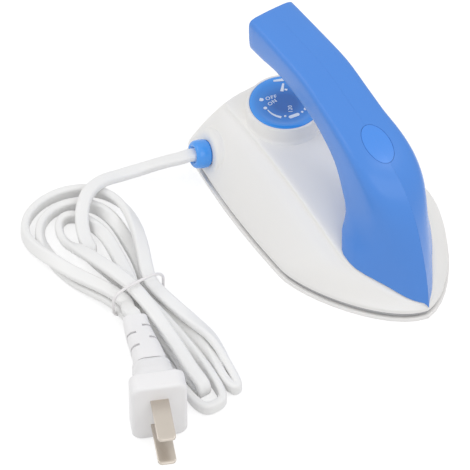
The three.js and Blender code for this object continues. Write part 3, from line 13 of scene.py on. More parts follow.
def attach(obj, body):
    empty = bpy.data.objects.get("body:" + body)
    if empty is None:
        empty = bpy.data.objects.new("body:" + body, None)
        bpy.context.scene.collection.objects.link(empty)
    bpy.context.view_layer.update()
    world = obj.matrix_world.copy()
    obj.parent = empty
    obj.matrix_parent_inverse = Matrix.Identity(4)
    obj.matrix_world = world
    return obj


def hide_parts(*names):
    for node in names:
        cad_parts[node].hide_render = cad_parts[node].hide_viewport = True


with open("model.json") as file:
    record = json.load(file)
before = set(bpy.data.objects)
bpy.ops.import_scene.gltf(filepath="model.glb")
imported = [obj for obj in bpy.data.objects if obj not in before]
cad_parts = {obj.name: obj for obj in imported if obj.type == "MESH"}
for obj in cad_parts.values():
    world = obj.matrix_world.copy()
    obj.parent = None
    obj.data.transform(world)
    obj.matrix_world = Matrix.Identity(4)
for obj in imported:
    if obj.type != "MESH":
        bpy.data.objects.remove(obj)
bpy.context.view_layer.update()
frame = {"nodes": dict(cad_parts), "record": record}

# Sizes are in millimetres. A point times MM is in metres.
MM = 0.001
UP = Vector((0, 0, 1))
TINY = 1e-6

# Whole iron, and the clearance between seated pieces
HALF_LENGTH, HALF_WIDTH, HANDLE_HEIGHT = 58.5, 33.0, 71.8
GAP = 0.3

# Camera: away points from what it aims at to the lens
CAMERA = Sizes(aim=(-12.7, -34.7, 0), away=(0.549, -0.3705, 0.749), distance=1500, sensor=36, lens=319.06, reach=20)

# Boss: x, y, z is the middle of its face. The flare rounds its foot into the flank, the root is how far it goes on
# inside, and search_start and deepest bound the search for the flank behind it.
BOSS = Sizes(width=19.0, height=20.0, fillet=2.0, turn=12, tilt=12, x=-43.4, y=-26.2, z=10.8,
             flare=0.6, root=2.0, search_start=0.5, deepest=14.0)
# Button that the cord comes out of, with the hole in the boss that takes it
SLEEVE = Sizes(flange=5.3, proud=5.8, neck=4.5, edge=1.5, tail=3.4, hole_low=-12, hole_high=8, cord_gap=0.5,
               corner=1.5)
# Plug: droop and sway are what its relief bends down and aside
PLUG = Sizes(
    width=19.4, height=27.0, corner=3.4, flange=8.0, neck_width=14.0, neck_height=20.0, neck=12.5, relief=24.4,
    relief_width=12.8, relief_height=11.0, tail_width=8.6, tail_height=6.2, taper=1.2, droop=3.0, sway=-1.9,
    round_share=0.36, groove=1.1, groove_reach=3.52, groove_corner=0.8, grooves=(0.28, 0.43, 0.58, 0.73),
    face_x=50.3, face_y=-108.3, turn=-24.6)
# Dial: a dished cap with a rim and a hub below it
DIAL = Sizes(x=-31.7, radius=13.0, thick=4.0, edge=1.0, dish=0.5, top=32.6, hub=4.4, hub_wall=0.6, bore_roof=1.6,
             cap=2.5, steps=112)
COLLAR = Sizes(wall=0.7, flare=0.3, proud=0.25, step_width=0.8, close=0.05, chamfer=0.12)
# Lamp lens: the opening is wider than the lens by gap and deeper by floor; over is above the handle's top
LENS = Sizes(length=15.8, width=9.5, thick=2.4, gap=0.13, floor=0.6, over=9, steps=64)


def put(thing, **values):
    for key, value in values.items():
        setattr(thing, key, value)
    return thing


def place_camera():
    away = Vector(CAMERA.away).normalized()
    spot = (Vector(CAMERA.aim) + away * CAMERA.distance) * MM
    bpy.ops.object.camera_add(location=spot, rotation=away.to_track_quat("Z", "Y").to_euler())
    bpy.context.scene.camera = camera = bpy.context.object
    put(camera.data, sensor_width=CAMERA.sensor, lens=CAMERA.lens, clip_end=CAMERA.reach)


place_camera()

# Modelling tools


def fresh():
    """Leaves edit mode and selects nothing."""
    if bpy.context.object and bpy.context.object.mode != "OBJECT":
        bpy.ops.object.mode_set(mode="OBJECT")
    bpy.ops.object.select_all(action="DESELECT")


def hold(piece):
    """Makes the piece the only one that the next operator acts on."""
    fresh()
    piece.select_set(True)
    bpy.context.view_layer.objects.active = piece


def mix(a, b, share):
    """Goes straight from a to b."""
    return a + (b - a) * share


def ease(share, start, end):
    """Goes softly from 0 at start to 1 at end."""
    t = min(max((share - start) / (end - start), 0), 1)
    return t * t * (3 - 2 * t)


def heading(points, i):
    """The way that a line goes at its point i."""
    return (points[min(i + 1, len(points) - 1)] - points[max(i - 1, 0)]).normalized()


def through(points, per_span):
    """Points on a smooth curve through the given ones, with per_span steps between two of them."""
    points = [Vector(p) for p in points]
    ends = [points[0] * 2 - points[1], *points, points[-1] * 2 - points[-2]]
    found = [points[0]]
    for i in range(1, len(ends) - 2):
        a, b, c, d = ends[i - 1:i + 3]
        t1 = sqrt(max((b - a).length, TINY))
        t2 = t1 + sqrt(max((c - b).length, TINY))
        t3 = t2 + sqrt(max((d - c).length, TINY))
        for k in range(1, per_span + 1):
            t = mix(t1, t2, k / per_span)
            ab = a * ((t1 - t) / t1) + b * (t / t1)
            bc = b * ((t2 - t) / (t2 - t1)) + c * ((t - t1) / (t2 - t1))
            cd = c * ((t3 - t) / (t3 - t2)) + d * ((t - t2) / (t3 - t2))
            abc = ab * ((t2 - t) / t2) + bc * (t / t2)
            bcd = bc * ((t3 - t) / (t3 - t1)) + cd * ((t - t1) / (t3 - t1))
            found.append(abc * ((t2 - t) / (t2 - t1)) + bcd * ((t - t1) / (t2 - t1)))
    return found


def evenly(points, steps):
    """The same line with its points at even distances."""
    run = [0]
    for a, b in zip(points, points[1:]):
        run.append(run[-1] + (b - a).length)
    found, k = [], 0
    for i in range(steps + 1):
        goal = run[-1] * i / steps
        while k + 2 < len(run) and run[k + 1] < goal:
            k += 1
        share = (goal - run[k]) / max(run[k + 1] - run[k], TINY)
        found.append(points[k].lerp(points[k + 1], share))
    return found


# Points nearer than these are one: in a new piece, and in a copy of a CAD node
WELD, NODE_WELD = 0.004, 0.002


def weld(piece, near, then):
    """Makes one of the points that are near each other, then does one more thing to the whole mesh."""
    hold(piece)
    bpy.ops.object.mode_set(mode="EDIT")
    bpy.ops.mesh.select_all(action="SELECT")
    bpy.ops.mesh.remove_doubles(threshold=near * MM)
    then()
    bpy.ops.object.mode_set(mode="OBJECT")
    return piece


def turn_out(piece):
    """Closes the seams and turns every face outwards."""
    return weld(piece, WELD, lambda: bpy.ops.mesh.normals_make_consistent(inside=False))


def skin(name, rings):
    """A closed skin: a ring of points drawn out to the next one, again and again, with both ends filled."""
    fresh()
    first = [Vector(point) * MM for point in rings[0]]
    bpy.ops.mesh.primitive_circle_add(vertices=len(first), fill_type="NOTHING")
    piece = bpy.context.object
    piece.name = piece.data.name = name
    bpy.ops.object.mode_set(mode="EDIT")
    mesh = bmesh.from_edit_mesh(piece.data)
    mesh.verts.ensure_lookup_table()
    for vert, place in zip(mesh.verts, first):
        vert.co = place
    bmesh.update_edit_mesh(piece.data)
    bpy.ops.mesh.select_all(action="SELECT")
    bpy.ops.mesh.edge_face_add()
    order = None
    for ring in rings[1:]:
        bpy.ops.mesh.extrude_region_move()
        mesh = bmesh.from_edit_mesh(piece.data)
        cap = next(face for face in mesh.faces if face.select)
        if order is None:
            order = [min(range(len(first)), key=lambda i: (first[i] - vert.co).length_squared) for vert in cap.verts]
        for vert, i in zip(cap.verts, order):
            vert.co = Vector(ring[i]) * MM
        bmesh.update_edit_mesh(piece.data)
    bpy.ops.object.mode_set(mode="OBJECT")
    return turn_out(piece)


def tube(name, rings, closed=False):
    """A tube over many rings, made at once. A closed one joins its last ring to its first."""
    count, total = len(rings[0]), len(rings)
    faces = [tuple((r + up) % total * count + (i + on) % count for up, on in ((0, 0), (0, 1), (1, 1), (1, 0)))
             for r in range(total if closed else total - 1) for i in range(count)]
    if not closed:
        faces += [tuple(range(count))[::-1], tuple(range((total - 1) * count, total * count))]
    mesh = bpy.data.meshes.new(name)
    mesh.from_pydata([p * MM for ring in rings for p in ring], [], faces)
    piece = bpy.data.objects.new(name, mesh)
    bpy.context.scene.collection.objects.link(piece)
    return turn_out(piece)


def finish_modifier(piece, kind, **values):
    hold(piece)
    modifier = put(piece.modifiers.new(kind.lower(), kind), **values)
    bpy.ops.object.modifier_apply(modifier=modifier.name)
    return piece


def carve(piece, tool, operation="DIFFERENCE"):
    """Cuts, joins or keeps by a tool piece, which is used up."""
    finish_modifier(piece, "BOOLEAN", object=tool, operation=operation, solver="EXACT")
    bpy.data.objects.remove(tool)
    return piece


def smooth(piece, angle):
    hold(piece)
    bpy.ops.object.shade_smooth_by_angle(angle=radians(angle))
    return piece


def circle(radius, z, steps):
    angles = [2 * pi * i / steps for i in range(steps)]
    return [Vector((radius * cos(angle), radius * sin(angle), z)) for angle in angles]


# An end on the axis is a ring this small
AXIS_RADIUS = 0.002


def turned(name, profile, steps, place):
    """A turned piece from (radius, height) pairs, both ends on the axis."""
    rings = [circle(max(radius, AXIS_RADIUS), z, steps) for radius, z in profile]
    return skin(name, [[place @ p for p in ring] for ring in rings])


def oblong(width, height, corner, steps=5):
    """A rectangle with round corners, as points (across, up)."""
    points = []
    for cx, cy, start in ((1, 1, 0), (-1, 1, 90), (-1, -1, 180), (1, -1, 270)):
        for i in range(steps + 1):
            angle = radians(start + 90 * i / steps)
            points.append(Vector((
                cx * (width / 2 - corner) + corner * cos(angle),
                cy * (height / 2 - corner) + corner * sin(angle))))
    return points


def prism(name, outline, low, high, place=Matrix.Identity(4)):
    """A straight block with the given outline, from low to high along the placed z axis."""
    return skin(name, [[place @ Vector((p.x, p.y, z)) for p in outline] for z in (low, high)])


def copy_of(node, name):
    """A welded copy of a CAD node, to be smoothed."""
    piece = frame["nodes"][node].copy()
    piece.data = piece.data.copy()
    piece.name = piece.data.name = name
    for key in list(piece.keys()):
        del piece[key]
    piece.parent = None
    bpy.context.scene.collection.objects.link(piece)
    return weld(piece, NODE_WELD, bpy.ops.mesh.customdata_custom_splitnormals_clear)


def cover(piece, look):
    piece.data.materials.clear()
    piece.data.materials.append(finish[look])


def dress(piece, body, slot, look, *nodes):
    """Gives a finished piece its finish and body, and hides the nodes that it stands for. The slot is not used."""
    cover(piece, look)
    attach(piece, body)
    if nodes:
        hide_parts(*nodes)
    return piece


# Finishes

FLOAT, COLOR = "NodeSocketFloat", "NodeSocketColor"
WHITE = (1, 1, 1, 1)


def node(tree, kind, inputs=None, **values):
    """Adds a shader node, with the values of its inputs and then its own settings."""
    made = put(tree.nodes.new("ShaderNode" + kind), **values)
    for key, value in (inputs or {}).items():
        made.inputs[key].default_value = value
    return made


def wire(tree, *links):
    """Links sockets, each given as (node, output, node, input)."""
    for source, output, target, entry in links:
        tree.links.new(source.outputs[output], target.inputs[entry])


def effect(name, dark, gloss, scales):
    """An empty group: two tones, two glosses and its scales go in, a colour, a roughness and a height come out."""
    tree = bpy.data.node_groups.new(name, "ShaderNodeTree")
    given = {"Light": WHITE, "Dark": dark, **scales, "Gloss Low": gloss[0], "Gloss High": gloss[1]}
    for label, value in given.items():
        kind = COLOR if label in ("Light", "Dark") else FLOAT
        tree.interface.new_socket(label, in_out="INPUT", socket_type=kind).default_value = value
    for label, kind in (("Color", COLOR), ("Roughness", FLOAT), ("Height", FLOAT)):
        tree.interface.new_socket(label, in_out="OUTPUT", socket_type=kind)
    return tree, tree.nodes.new("NodeGroupInput"), tree.nodes.new("NodeGroupOutput")


def give(tree, given, result, tone, sheen, height):
    """Leads one pattern to the group's colour, one to its roughness and one to its height."""
    blend = node(tree, "Mix", data_type="RGBA")
    gloss = node(tree, "Mix", data_type="FLOAT")
    wire(tree,
         (tone, "Fac", blend, "Factor"), (given, "Dark", blend, "A"), (given, "Light", blend, "B"),
         (sheen, "Fac", gloss, "Factor"), (given, "Gloss Low", gloss, "A"), (given, "Gloss High", gloss, "B"),
         (blend, "Result", result, "Color"), (gloss, "Result", result, "Roughness"),
         (height, "Fac", result, "Height"))
    return tree


def moulded_group():
    """Moulded plastic: fine sparkle of the mould's grain, slow drifts of tone and of gloss."""
    tree, given, result = effect(
        "moulded_grain", shade(WHITE[:3], 0.8), (0.3, 0.4), {"Grain Scale": 2600, "Drift Scale": 45})
    place = node(tree, "TexCoord")
    grain = node(tree, "TexNoise", {"Detail": 3})
    drift = node(tree, "TexNoise", {"Detail": 4})
    wire(tree,
         (place, "Object", grain, "Vector"), (place, "Object", drift, "Vector"),
         (given, "Grain Scale", grain, "Scale"), (given, "Drift Scale", drift, "Scale"))
    return give(tree, given, result, drift, drift, grain)


def brushed_group():
    """Worked metal: fine lines along one axis over slow stains."""
    tree, given, result = effect(
        "brushed_lines", shade(WHITE[:3], 0.7), (0.25, 0.4), {"Line Scale": 900, "Stretch": 0.04})
    place = node(tree, "TexCoord")
    squeeze = node(tree, "CombineXYZ", {"Y": 1, "Z": 1})
    drawn = node(tree, "VectorMath", operation="MULTIPLY")
    lines = node(tree, "TexNoise", {"Detail": 4})
    stains = node(tree, "TexNoise", {"Scale": 90, "Detail": 5})
    wire(tree,
         (given, "Stretch", squeeze, "X"), (place, "Object", drawn, 0), (squeeze, "Vector", drawn, 1),
         (drawn, "Vector", lines, "Vector"), (given, "Line Scale", lines, "Scale"),
         (place, "Object", stains, "Vector"))
    return give(tree, given, result, stains, lines, lines)


def shade(value, by):
    return tuple(c * by for c in value) + (1,)


MOULDED = moulded_group()
BRUSHED = brushed_group()


def material(name, color, group, dark, gloss, bump, depth, sockets=None):
    """A finish: one of the grain groups feeding a shader that stays here. The bumps are depth high."""
    made = bpy.data.materials.new(name)
    made.use_nodes = True
    tree = made.node_tree
    shader = tree.nodes["Principled BSDF"]
    tones = {"Light": shade(color, 1), "Dark": shade(color, dark), "Gloss Low": gloss[0], "Gloss High": gloss[1]}
    grain = node(tree, "Group", tones, node_tree=group)
    relief = node(tree, "Bump", {"Strength": bump, "Distance": depth * MM})
    wire(tree,
         (grain, "Color", shader, "Base Color"), (grain, "Roughness", shader, "Roughness"),
         (grain, "Height", relief, "Height"), (relief, "Normal", shader, "Normal"))
    for key, value in (sockets or {}).items():
        shader.inputs[key].default_value = value
    made.diffuse_color = shade(color, 1)
    return made


HANDLE_BLUE = (0.086, 0.273, 0.765)
# Colour, grain, share of it in the dark tone, gloss, strength and height of the bumps, and any other socket
FINISHES = {
    "shell_white": ((0.876, 0.864, 0.842), MOULDED, 0.975, (0.34, 0.42), 0.12, 0.02),
    "handle_blue": (HANDLE_BLUE, MOULDED, 0.93, (0.2, 0.28), 0.2, 0.025, {"Specular IOR Level": 0.3}),
    "lens_blue": ((0.075, 0.285, 0.84), MOULDED, 0.96, (0.22, 0.28), 0.05, 0.01, {"Specular IOR Level": 0.4}),
    "button_blue": ((0.08, 0.36, 0.94), MOULDED, 0.93, (0.18, 0.26), 0.1, 0.02),
    "print_white": ((0.72, 0.80, 0.92), MOULDED, 0.9, (0.4, 0.5), 0.05, 0.01),
    "sheath_white": ((0.89, 0.887, 0.88), MOULDED, 0.95, (0.4, 0.5), 0.15, 0.03),
    "plug_white": ((0.88, 0.872, 0.878), MOULDED, 0.96, (0.42, 0.52), 0.15, 0.03),
    "tie_white": ((0.86, 0.84, 0.84), MOULDED, 0.95, (0.3, 0.4), 0.05, 0.01),
    "blade_nickel": ((0.66, 0.60, 0.53), BRUSHED, 0.85, (0.26, 0.42), 0.08, 0.01, {"Metallic": 0.9}),
    "sole_metal": ((0.80, 0.79, 0.78), BRUSHED, 0.92, (0.52, 0.62), 0.06, 0.01, {"Metallic": 1.0}),
    # The rim's dark grey is partly its own steel and partly painted shade for the shadowed gap between shell and
    # sole.
    "rim_metal": ((0.45, 0.45, 0.46), BRUSHED, 0.8, (0.4, 0.6), 0.1, 0.02, {"Metallic": 0.6}),
    "element_metal": ((0.30, 0.28, 0.26), BRUSHED, 0.6, (0.4, 0.6), 0.2, 0.03, {"Metallic": 1.0}),
    "screw_steel": ((0.70, 0.70, 0.69), BRUSHED, 0.85, (0.22, 0.34), 0.05, 0.01, {"Metallic": 1.0}),
    "terminal_brass": ((0.72, 0.58, 0.32), BRUSHED, 0.85, (0.25, 0.4), 0.05, 0.01, {"Metallic": 1.0}),
    "insulator_ceramic": ((0.78, 0.75, 0.68), MOULDED, 0.9, (0.55, 0.7), 0.2, 0.04),
    "clamp_natural": ((0.72, 0.68, 0.58), MOULDED, 0.92, (0.4, 0.5), 0.1, 0.02),
    "wire_sleeving": ((0.74, 0.70, 0.60), MOULDED, 0.8, (0.6, 0.75), 0.5, 0.06),
    "lamp_glass": ((0.90, 0.55, 0.38), MOULDED, 0.95, (0.05, 0.1), 0.02, 0.01, {"Transmission Weight": 0.8}),
}
finish = {name: material(name, *row) for name, row in FINISHES.items()}


def dial_material():
    """Glossy deep blue with painted reflection and shade: darker in the middle, lighter towards the rim."""
    made = material("dial_blue", HANDLE_BLUE, MOULDED, 0.9, (0.12, 0.2), 0.04, 0.01, {"Coat Weight": 0.25})
    tree = made.node_tree
    per_radius = 1 / (DIAL.radius * MM)
    place = node(tree, "TexCoord")
    centre = node(tree, "Mapping", {"Location": (-DIAL.x * MM, 0, 0)})
    flat = node(tree, "VectorMath", {1: (per_radius, per_radius, 0)}, operation="MULTIPLY")
    reach = node(tree, "VectorMath", operation="LENGTH")
    # Painted reflection and shade: a ramp from dark in the middle to light at the rim stands in for what the glossy
    # dish reflects.
    ramp = node(tree, "ValToRGB")
    tones = ((0.3, (0.006, 0.115, 0.43, 1)), (1.0, (0.05, 0.33, 0.90, 1)))
    for stop, (position, color) in zip(ramp.color_ramp.elements, tones):
        put(stop, position=position, color=color)
    wire(tree,
         (place, "Object", centre, "Vector"), (centre, "Vector", flat, 0), (flat, "Vector", reach, 0),
         (reach, "Value", ramp, "Fac"), (ramp, "Color", tree.nodes["Principled BSDF"], "Base Color"))
    return made


finish["dial_blue"] = dial_material()

# Cord. The route repeats the points and the folds of the part's source.

CORD_WIDTH, CORD_THICK = 5.0, 3.0
# Middle of the hank's waist, and the height of a layer of its strands
HANK_X, HANK_Y, LAYER = -3.0, -82.45, 3.95
# Each slot's place across the waist and its layer
SLOTS = [(-5.8, 1), (-6.7, 0), (-1.4, 2), (0.4, 0), (0.1, 1), (6.1, 0), (6.7, 1)]
# The strands lie clear of the floor, and the tie lifts them at the waist
CLEAR, LIFT, LIFT_REACH, LIFT_HOLD = 0.1, 2.2, 26, 0.3
REST = CORD_THICK / 2 + CLEAR
# Folds: slot that it comes from and slot that it goes to, x of its tip, y of its middle and how far the tip is off
# that, half its width, how blunt it is, and the shares of its way out over which it rolls on to its edge and sinks
# to the floor. The first stands upright.
FOLD_STEPS = 24
FOLD_PARTS = ("start", "end", "tip", "middle", "skew", "half", "blunt", "rolls", "sinks")
FOLDS = [Sizes(**dict(zip(FOLD_PARTS, row))) for row in (
    (4, 3, 44.2, -84.2, -1.8, None, None, None, (0.1, 1)),
    (3, 5, -51.7, -81.5, -0.8, 6, 2, (0.5, 0.99), (0.43, 0.83)),
    (5, 2, 50.9, -84, -1.7, 2.8, 3.2, (0.17, 0.99), (0.06, 0.71)),
    (2, 6, -57, -82.4, 0.1, 9.4, 2, (0.5, 1), (0.31, 0.73)),
    (6, 7, 48.5, -70.6, -4.7, 1.7, 2.4, (0.17, 1), (0.16, 1)),
    (7, 1, -63, -81.1, -0.3, 14.1, 2, (0.09, 1), (0.16, 1)),
)]
TEARDROP = Sizes(scale=3.11, power=3.07, fan=0.36, fan_end=0.37, centre_end=1, skew_start=0.5)
# The upright fold's bend is a share of the layer. Its strand finds the fold's middle by this share of its run.
BEND_SHARE, UPRIGHT_EASE = 0.745, 0.6
# Lead from the button to the hank, and how it runs in flat to its first slot
LEAD = [
    (-46.1, -36.2, 11.6), (-49.5, -40.8, 9.3), (-54.3, -47.5, 5.4), (-55.9, -56, 5.6), (-55.7, -63.6, 7.4),
    (-53.6, -70.4, 8.2), (-49.6, -75.6, 7.9), (-44.8, -79.4, 6.1), (-39, -81.9, 3.9), (-33.4, -83.1, 2.5),
]
LEAD_OUT, LEAD_FINE, LEAD_STEPS = 1.5, 8, 44
ENTRY_X, ENTRY_Y, STUB = HANK_X - 25.0, -83.6, 6.0
RUN_IN = Vector((-1.2 * CORD_WIDTH, -0.2, 0.1))
# End of the last strand beyond the waist, and the straight end in the plug's tail
SIDE_END, TAIL_END = 1.44, 0.8
# The drawn cord: steps between two points of the route, and its round corners
CORD_FINE, CORD_CORNER_SHARE, CORD_CORNER_STEPS = 3, 0.36, 4

boss_turn, boss_tilt = radians(BOSS.turn), radians(BOSS.tilt)
WAY_OUT = Vector((-sin(boss_turn), -cos(boss_turn), tan(boss_tilt))).normalized()
ENTRY_POINT = Vector((BOSS.x, BOSS.y, BOSS.z))
plug_turn = radians(PLUG.turn)
PLUG_WAY = Vector((cos(plug_turn), sin(plug_turn), 0))
PLUG_FACE = Vector((PLUG.face_x, PLUG.face_y, PLUG.height / 2 + GAP / 3))
RELIEF_START = PLUG.flange + PLUG.neck + GAP


def out_by(length):
    """A point on the button's axis, length out from the boss."""
    return ENTRY_POINT + WAY_OUT * length


def plug_at(back, across=0.0, rise=0.0):
    """A point of the plug, back from its face."""
    return PLUG_FACE - PLUG_WAY * back + Vector((-PLUG_WAY.y * across, PLUG_WAY.x * across, rise))


def slot_y(slot):
    return HANK_Y + SLOTS[slot - 1][0]


def slot_layer(slot):
    return LAYER * SLOTS[slot - 1][1]


def lift_at(x):
    return LIFT * (1 - ease(abs(x - HANK_X) / LIFT_REACH, LIFT_HOLD, 1))


def level_fold(fold):
    """One fold that lies level; the flat cord rolls on to its edge as it comes out of the waist."""
    start, end = slot_y(fold.start), slot_y(fold.end)
    way = 1 if end > start else -1
    found = []
    for i in range(FOLD_STEPS + 1):
        turn = pi * (i / FOLD_STEPS - 0.5)
        c, s = cos(turn), sin(turn)
        out = 1 - abs(s) ** fold.blunt
        lane = (end - start) * s / 2 * (1 + TEARDROP.fan * ease(out, 0, TEARDROP.fan_end))
        swell = way * fold.half * TEARDROP.scale * s * max(c, 0) ** TEARDROP.power
        middle = mix((start + end) / 2, fold.middle, ease(out, 0, TEARDROP.centre_end))
        centre = middle + fold.skew * ease(out, TEARDROP.skew_start, 1)
        roll = pi / 2 * ease(out, *fold.rolls)
        half_high = (CORD_THICK * cos(roll) + CORD_WIDTH * sin(roll)) / 2
        above = slot_layer(fold.start if s < 0 else fold.end)
        layer = (1 - ease(out, *fold.sinks)) * (2 * half_high + above - CORD_THICK) if above else 0
        x = HANK_X + (fold.tip - HANK_X) * out
        found.append((Vector((x, centre + lane + swell, CLEAR + half_high + layer + lift_at(x))), roll, None))
    return found


def upright_fold(fold):
    """The fold that turns over in the upright plane, its upper strand flat on top."""
    bend, runs = LAYER * BEND_SHARE, FOLD_STEPS // 3
    level = Vector((0, 1, 0))

    def strand(slot, share, top):
        x = mix(HANK_X, fold.tip - bend, share)
        skew = fold.skew * ease(share, TEARDROP.skew_start, 1)
        y = mix(slot_y(slot), fold.middle, ease(share, 0, UPRIGHT_EASE)) + skew
        above = mix(slot_layer(fold.end), bend * 2, ease(share, *fold.sinks))
        return Vector((x, y, REST + lift_at(x) + (above if top else 0))), 0, level

    found = [strand(fold.start, i / runs, False) for i in range(runs + 1)]
    for i in range(1, runs):
        angle = pi * i / runs
        point = Vector((fold.tip - bend + bend * sin(angle), fold.middle + fold.skew,
                        REST + bend - bend * cos(angle)))
        found.append((point, 0, level))
    return found + [strand(fold.end, i / runs, True) for i in range(runs, -1, -1)]


def cord_route():
    """Every point of the route, with the cord's roll there and, where the route stands upright, its way across."""
    entry = Vector((ENTRY_X, ENTRY_Y, REST))
    lead = evenly(through([
        out_by(-GAP / 2 - SLEEVE.edge), out_by(SLEEVE.proud + LEAD_OUT), *LEAD,
        entry + RUN_IN, entry - Vector((GAP, 0, 0))], LEAD_FINE), LEAD_STEPS)
    route = [(point, 0, None) for point in lead]
    for share in (0, 0.5, 1):
        x = mix(ENTRY_X, HANK_X - STUB, share)
        y = mix(ENTRY_Y, slot_y(FOLDS[0].start), ease(share, 0, 1))
        route.append((Vector((x, y, REST + lift_at(x))), 0, None))
    for fold in FOLDS:
        route += upright_fold(fold) if fold is FOLDS[0] else level_fold(fold)[1:]
    last = FOLDS[-1].end
    tail = plug_at(RELIEF_START + PLUG.relief + GAP, PLUG.sway, -PLUG.droop)
    side = Vector((HANK_X, slot_y(last), REST + slot_layer(last) + LIFT))
    ends = [side + Vector((SIDE_END, 0, 0)), side.lerp(tail, 0.5) + Vector((0, -GAP, GAP)),
            tail - PLUG_WAY * CORD_THICK * TAIL_END, tail]
    return route + [(point, 0, None) for point in ends]


def cord_rings(route):
    """Rings of the flat sheath: the route's frames, then finer ones between them."""
    centres = [point for point, _, _ in route]
    wides, before = [], None
    for i, (_, roll, across) in enumerate(route):
        along = heading(centres, i)
        side = across.copy() if across else UP.cross(along)
        side = (side - along * side.dot(along)).normalized()
        wide = side * cos(roll) + along.cross(side).normalized() * sin(roll)
        if before and wide.dot(before) < 0:
            wide.negate()
        before = wide
        wides.append(wide)
    fine_centres = through(centres, CORD_FINE)
    outline = oblong(CORD_WIDTH, CORD_THICK, CORD_THICK * CORD_CORNER_SHARE, CORD_CORNER_STEPS)
    rings = []
    for i, (point, wide) in enumerate(zip(fine_centres, through(wides, CORD_FINE))):
        along = heading(fine_centres, i)
        wide = (wide - along * wide.dot(along)).normalized()
        over = along.cross(wide).normalized()
        rings.append([point + wide * p.x + over * p.y for p in outline])
    return fine_centres, rings


cord_centres, rings = cord_rings(cord_route())
mains_cord = smooth(tube("mains_cord", rings), 60)
dress(mains_cord, "iron", "cord", "sheath_white", "cord_lead", "cord_hank")

# Tie round the waist: a thin wire in a hoop that is squared by the power in round
TIE = Sizes(wire=0.55, clear=1.4, low=1.0, round=0.62, steps=72, sides=10)


def hoop():
    half = max(abs(side) for side, _ in SLOTS) + CORD_WIDTH / 2 + TIE.clear
    high = max(layer for _, layer in SLOTS) * LAYER + CORD_THICK + LIFT + TIE.clear
    centre, tall = (TIE.low + high) / 2, (high - TIE.low) / 2
    spots = []
    for p in circle(1, 0, TIE.steps):
        across, up = (copysign(abs(part) ** TIE.round, part) for part in (p.x, p.y))
        spots.append(Vector((HANK_X, HANK_Y + half * across, centre + tall * up)))
    side = Vector((1, 0, 0))
    found = []
    for i, spot in enumerate(spots):
        along = (spots[(i + 1) % len(spots)] - spots[i - 1]).normalized()
        over = along.cross(side).normalized()
        found.append([spot + side * p.x + over * p.y for p in circle(TIE.wire, 0, TIE.sides)])
    return found


cord_tie = smooth(tube("cord_tie", hoop(), closed=True), 80)
dress(cord_tie, "iron", "tie", "tie_white", "twist_tie")

# Plug

# The neck's rows: back from the flange, wider and taller than the neck, corner
NECK_ROWS = [
    (0.25, 1.3, 1.4, 4), (0.8, 0.5, 0.6, 4), (2, 0, 0, 4), (5, -0.1, -0.4, 4), (5.4, -0.5, -0.9, 4),
    (8.5, -0.98, -2.4, 4.2), (10.5, -1.82, -4.6, 4.2), (11.7, -0.7, -7.5, 4), (12.5, -1.8, -9.4, 4),
]
RELIEF_STEPS = 24
BLADE_BEVEL = 0.12


def plug_ring(back, width, height, corner, rise=0.0, shift=0.0):
    return [plug_at(back, p.x + shift, p.y + rise) for p in oblong(width, height, corner, 6)]


def plug_housing():
    """The flange with its round edges, and the neck that narrows to the relief."""
    edge, rows = PLUG.taper, []
    for back in (0, 0.1, 0.35, 0.75, edge):
        trim = 2 * (edge - sqrt(max(edge ** 2 - (edge - back) ** 2, 0)))
        rows.append((back, PLUG.width - trim, PLUG.height - trim, PLUG.corner))
    rows += [(PLUG.flange - back, *sizes) for back, *sizes in rows[::-1]]
    rows += [(PLUG.flange + back, PLUG.neck_width + wider, PLUG.neck_height + taller, corner)
             for back, wider, taller, corner in NECK_ROWS]
    return skin("plug_housing", [plug_ring(*row) for row in rows])


def bent(back):
    return ease((back - RELIEF_START) / PLUG.relief, 0, 1)


def plug_relief():
    """The tapering relief, with grooves cut into its two sides by turns."""
    rings = []
    for k in range(RELIEF_STEPS + 1):
        share = k / RELIEF_STEPS
        back = RELIEF_START + PLUG.relief * share
        width = mix(PLUG.relief_width - PLUG.taper, PLUG.tail_width, share)
        height = mix(PLUG.relief_height, PLUG.tail_height, share)
        rings.append(plug_ring(back, width, height, min(width, height) * PLUG.round_share,
                               -PLUG.droop * bent(back), PLUG.sway * bent(back)))
    relief = skin("plug_boot", rings)
    for i, share in enumerate(PLUG.grooves):
        back = RELIEF_START + PLUG.relief * share
        side = 1 if i % 2 else -1
        half = mix(PLUG.relief_width, PLUG.tail_width, share) / 2
        shift = side * half + PLUG.sway * bent(back)
        box = [plug_ring(b, PLUG.groove_reach * 2, PLUG.relief_height * 2, PLUG.groove_corner, 0, shift)
               for b in (back, back + PLUG.groove)]
        carve(relief, skin("groove", box))
    return relief


plug_housing_piece = smooth(plug_housing(), 40)
plug_boot = smooth(plug_relief(), 40)
dress(plug_housing_piece, "iron", "plug", "plug_white", "plug_body")
dress(plug_boot, "iron", "plug", "plug_white", "plug_strain_relief")
for side in ("upper", "lower"):
    blade = copy_of(f"plug_pin_{side}", f"plug_blade_{side}")
    finish_modifier(blade, "BEVEL", width=BLADE_BEVEL * MM, segments=2, limit_method="ANGLE",
                    angle_limit=radians(40))
    dress(smooth(blade, 40), "iron", "pin", "blade_nickel", f"plug_pin_{side}")

# Body

SEAM, INSET, WALL, LIP = 4.0, 0.6, 2.0, 1.4
# The flanks swell by bulge. That and the ridge's rounding fade where a flank is lower than fade, as at the nose.
# The top rises by crown to its middle.
BULGE, CROWN = 1.1, 0.4
RIDGE = Sizes(height=26.3, round=1.7, least_share=0.3, fade=12, spread=0.6, drop=0.9, dip=0.25)
FLANK_SHARES, CROWN_SHARES = (0.25, 0.5, 0.75), (0.9, 0.6, 0.3, 0)
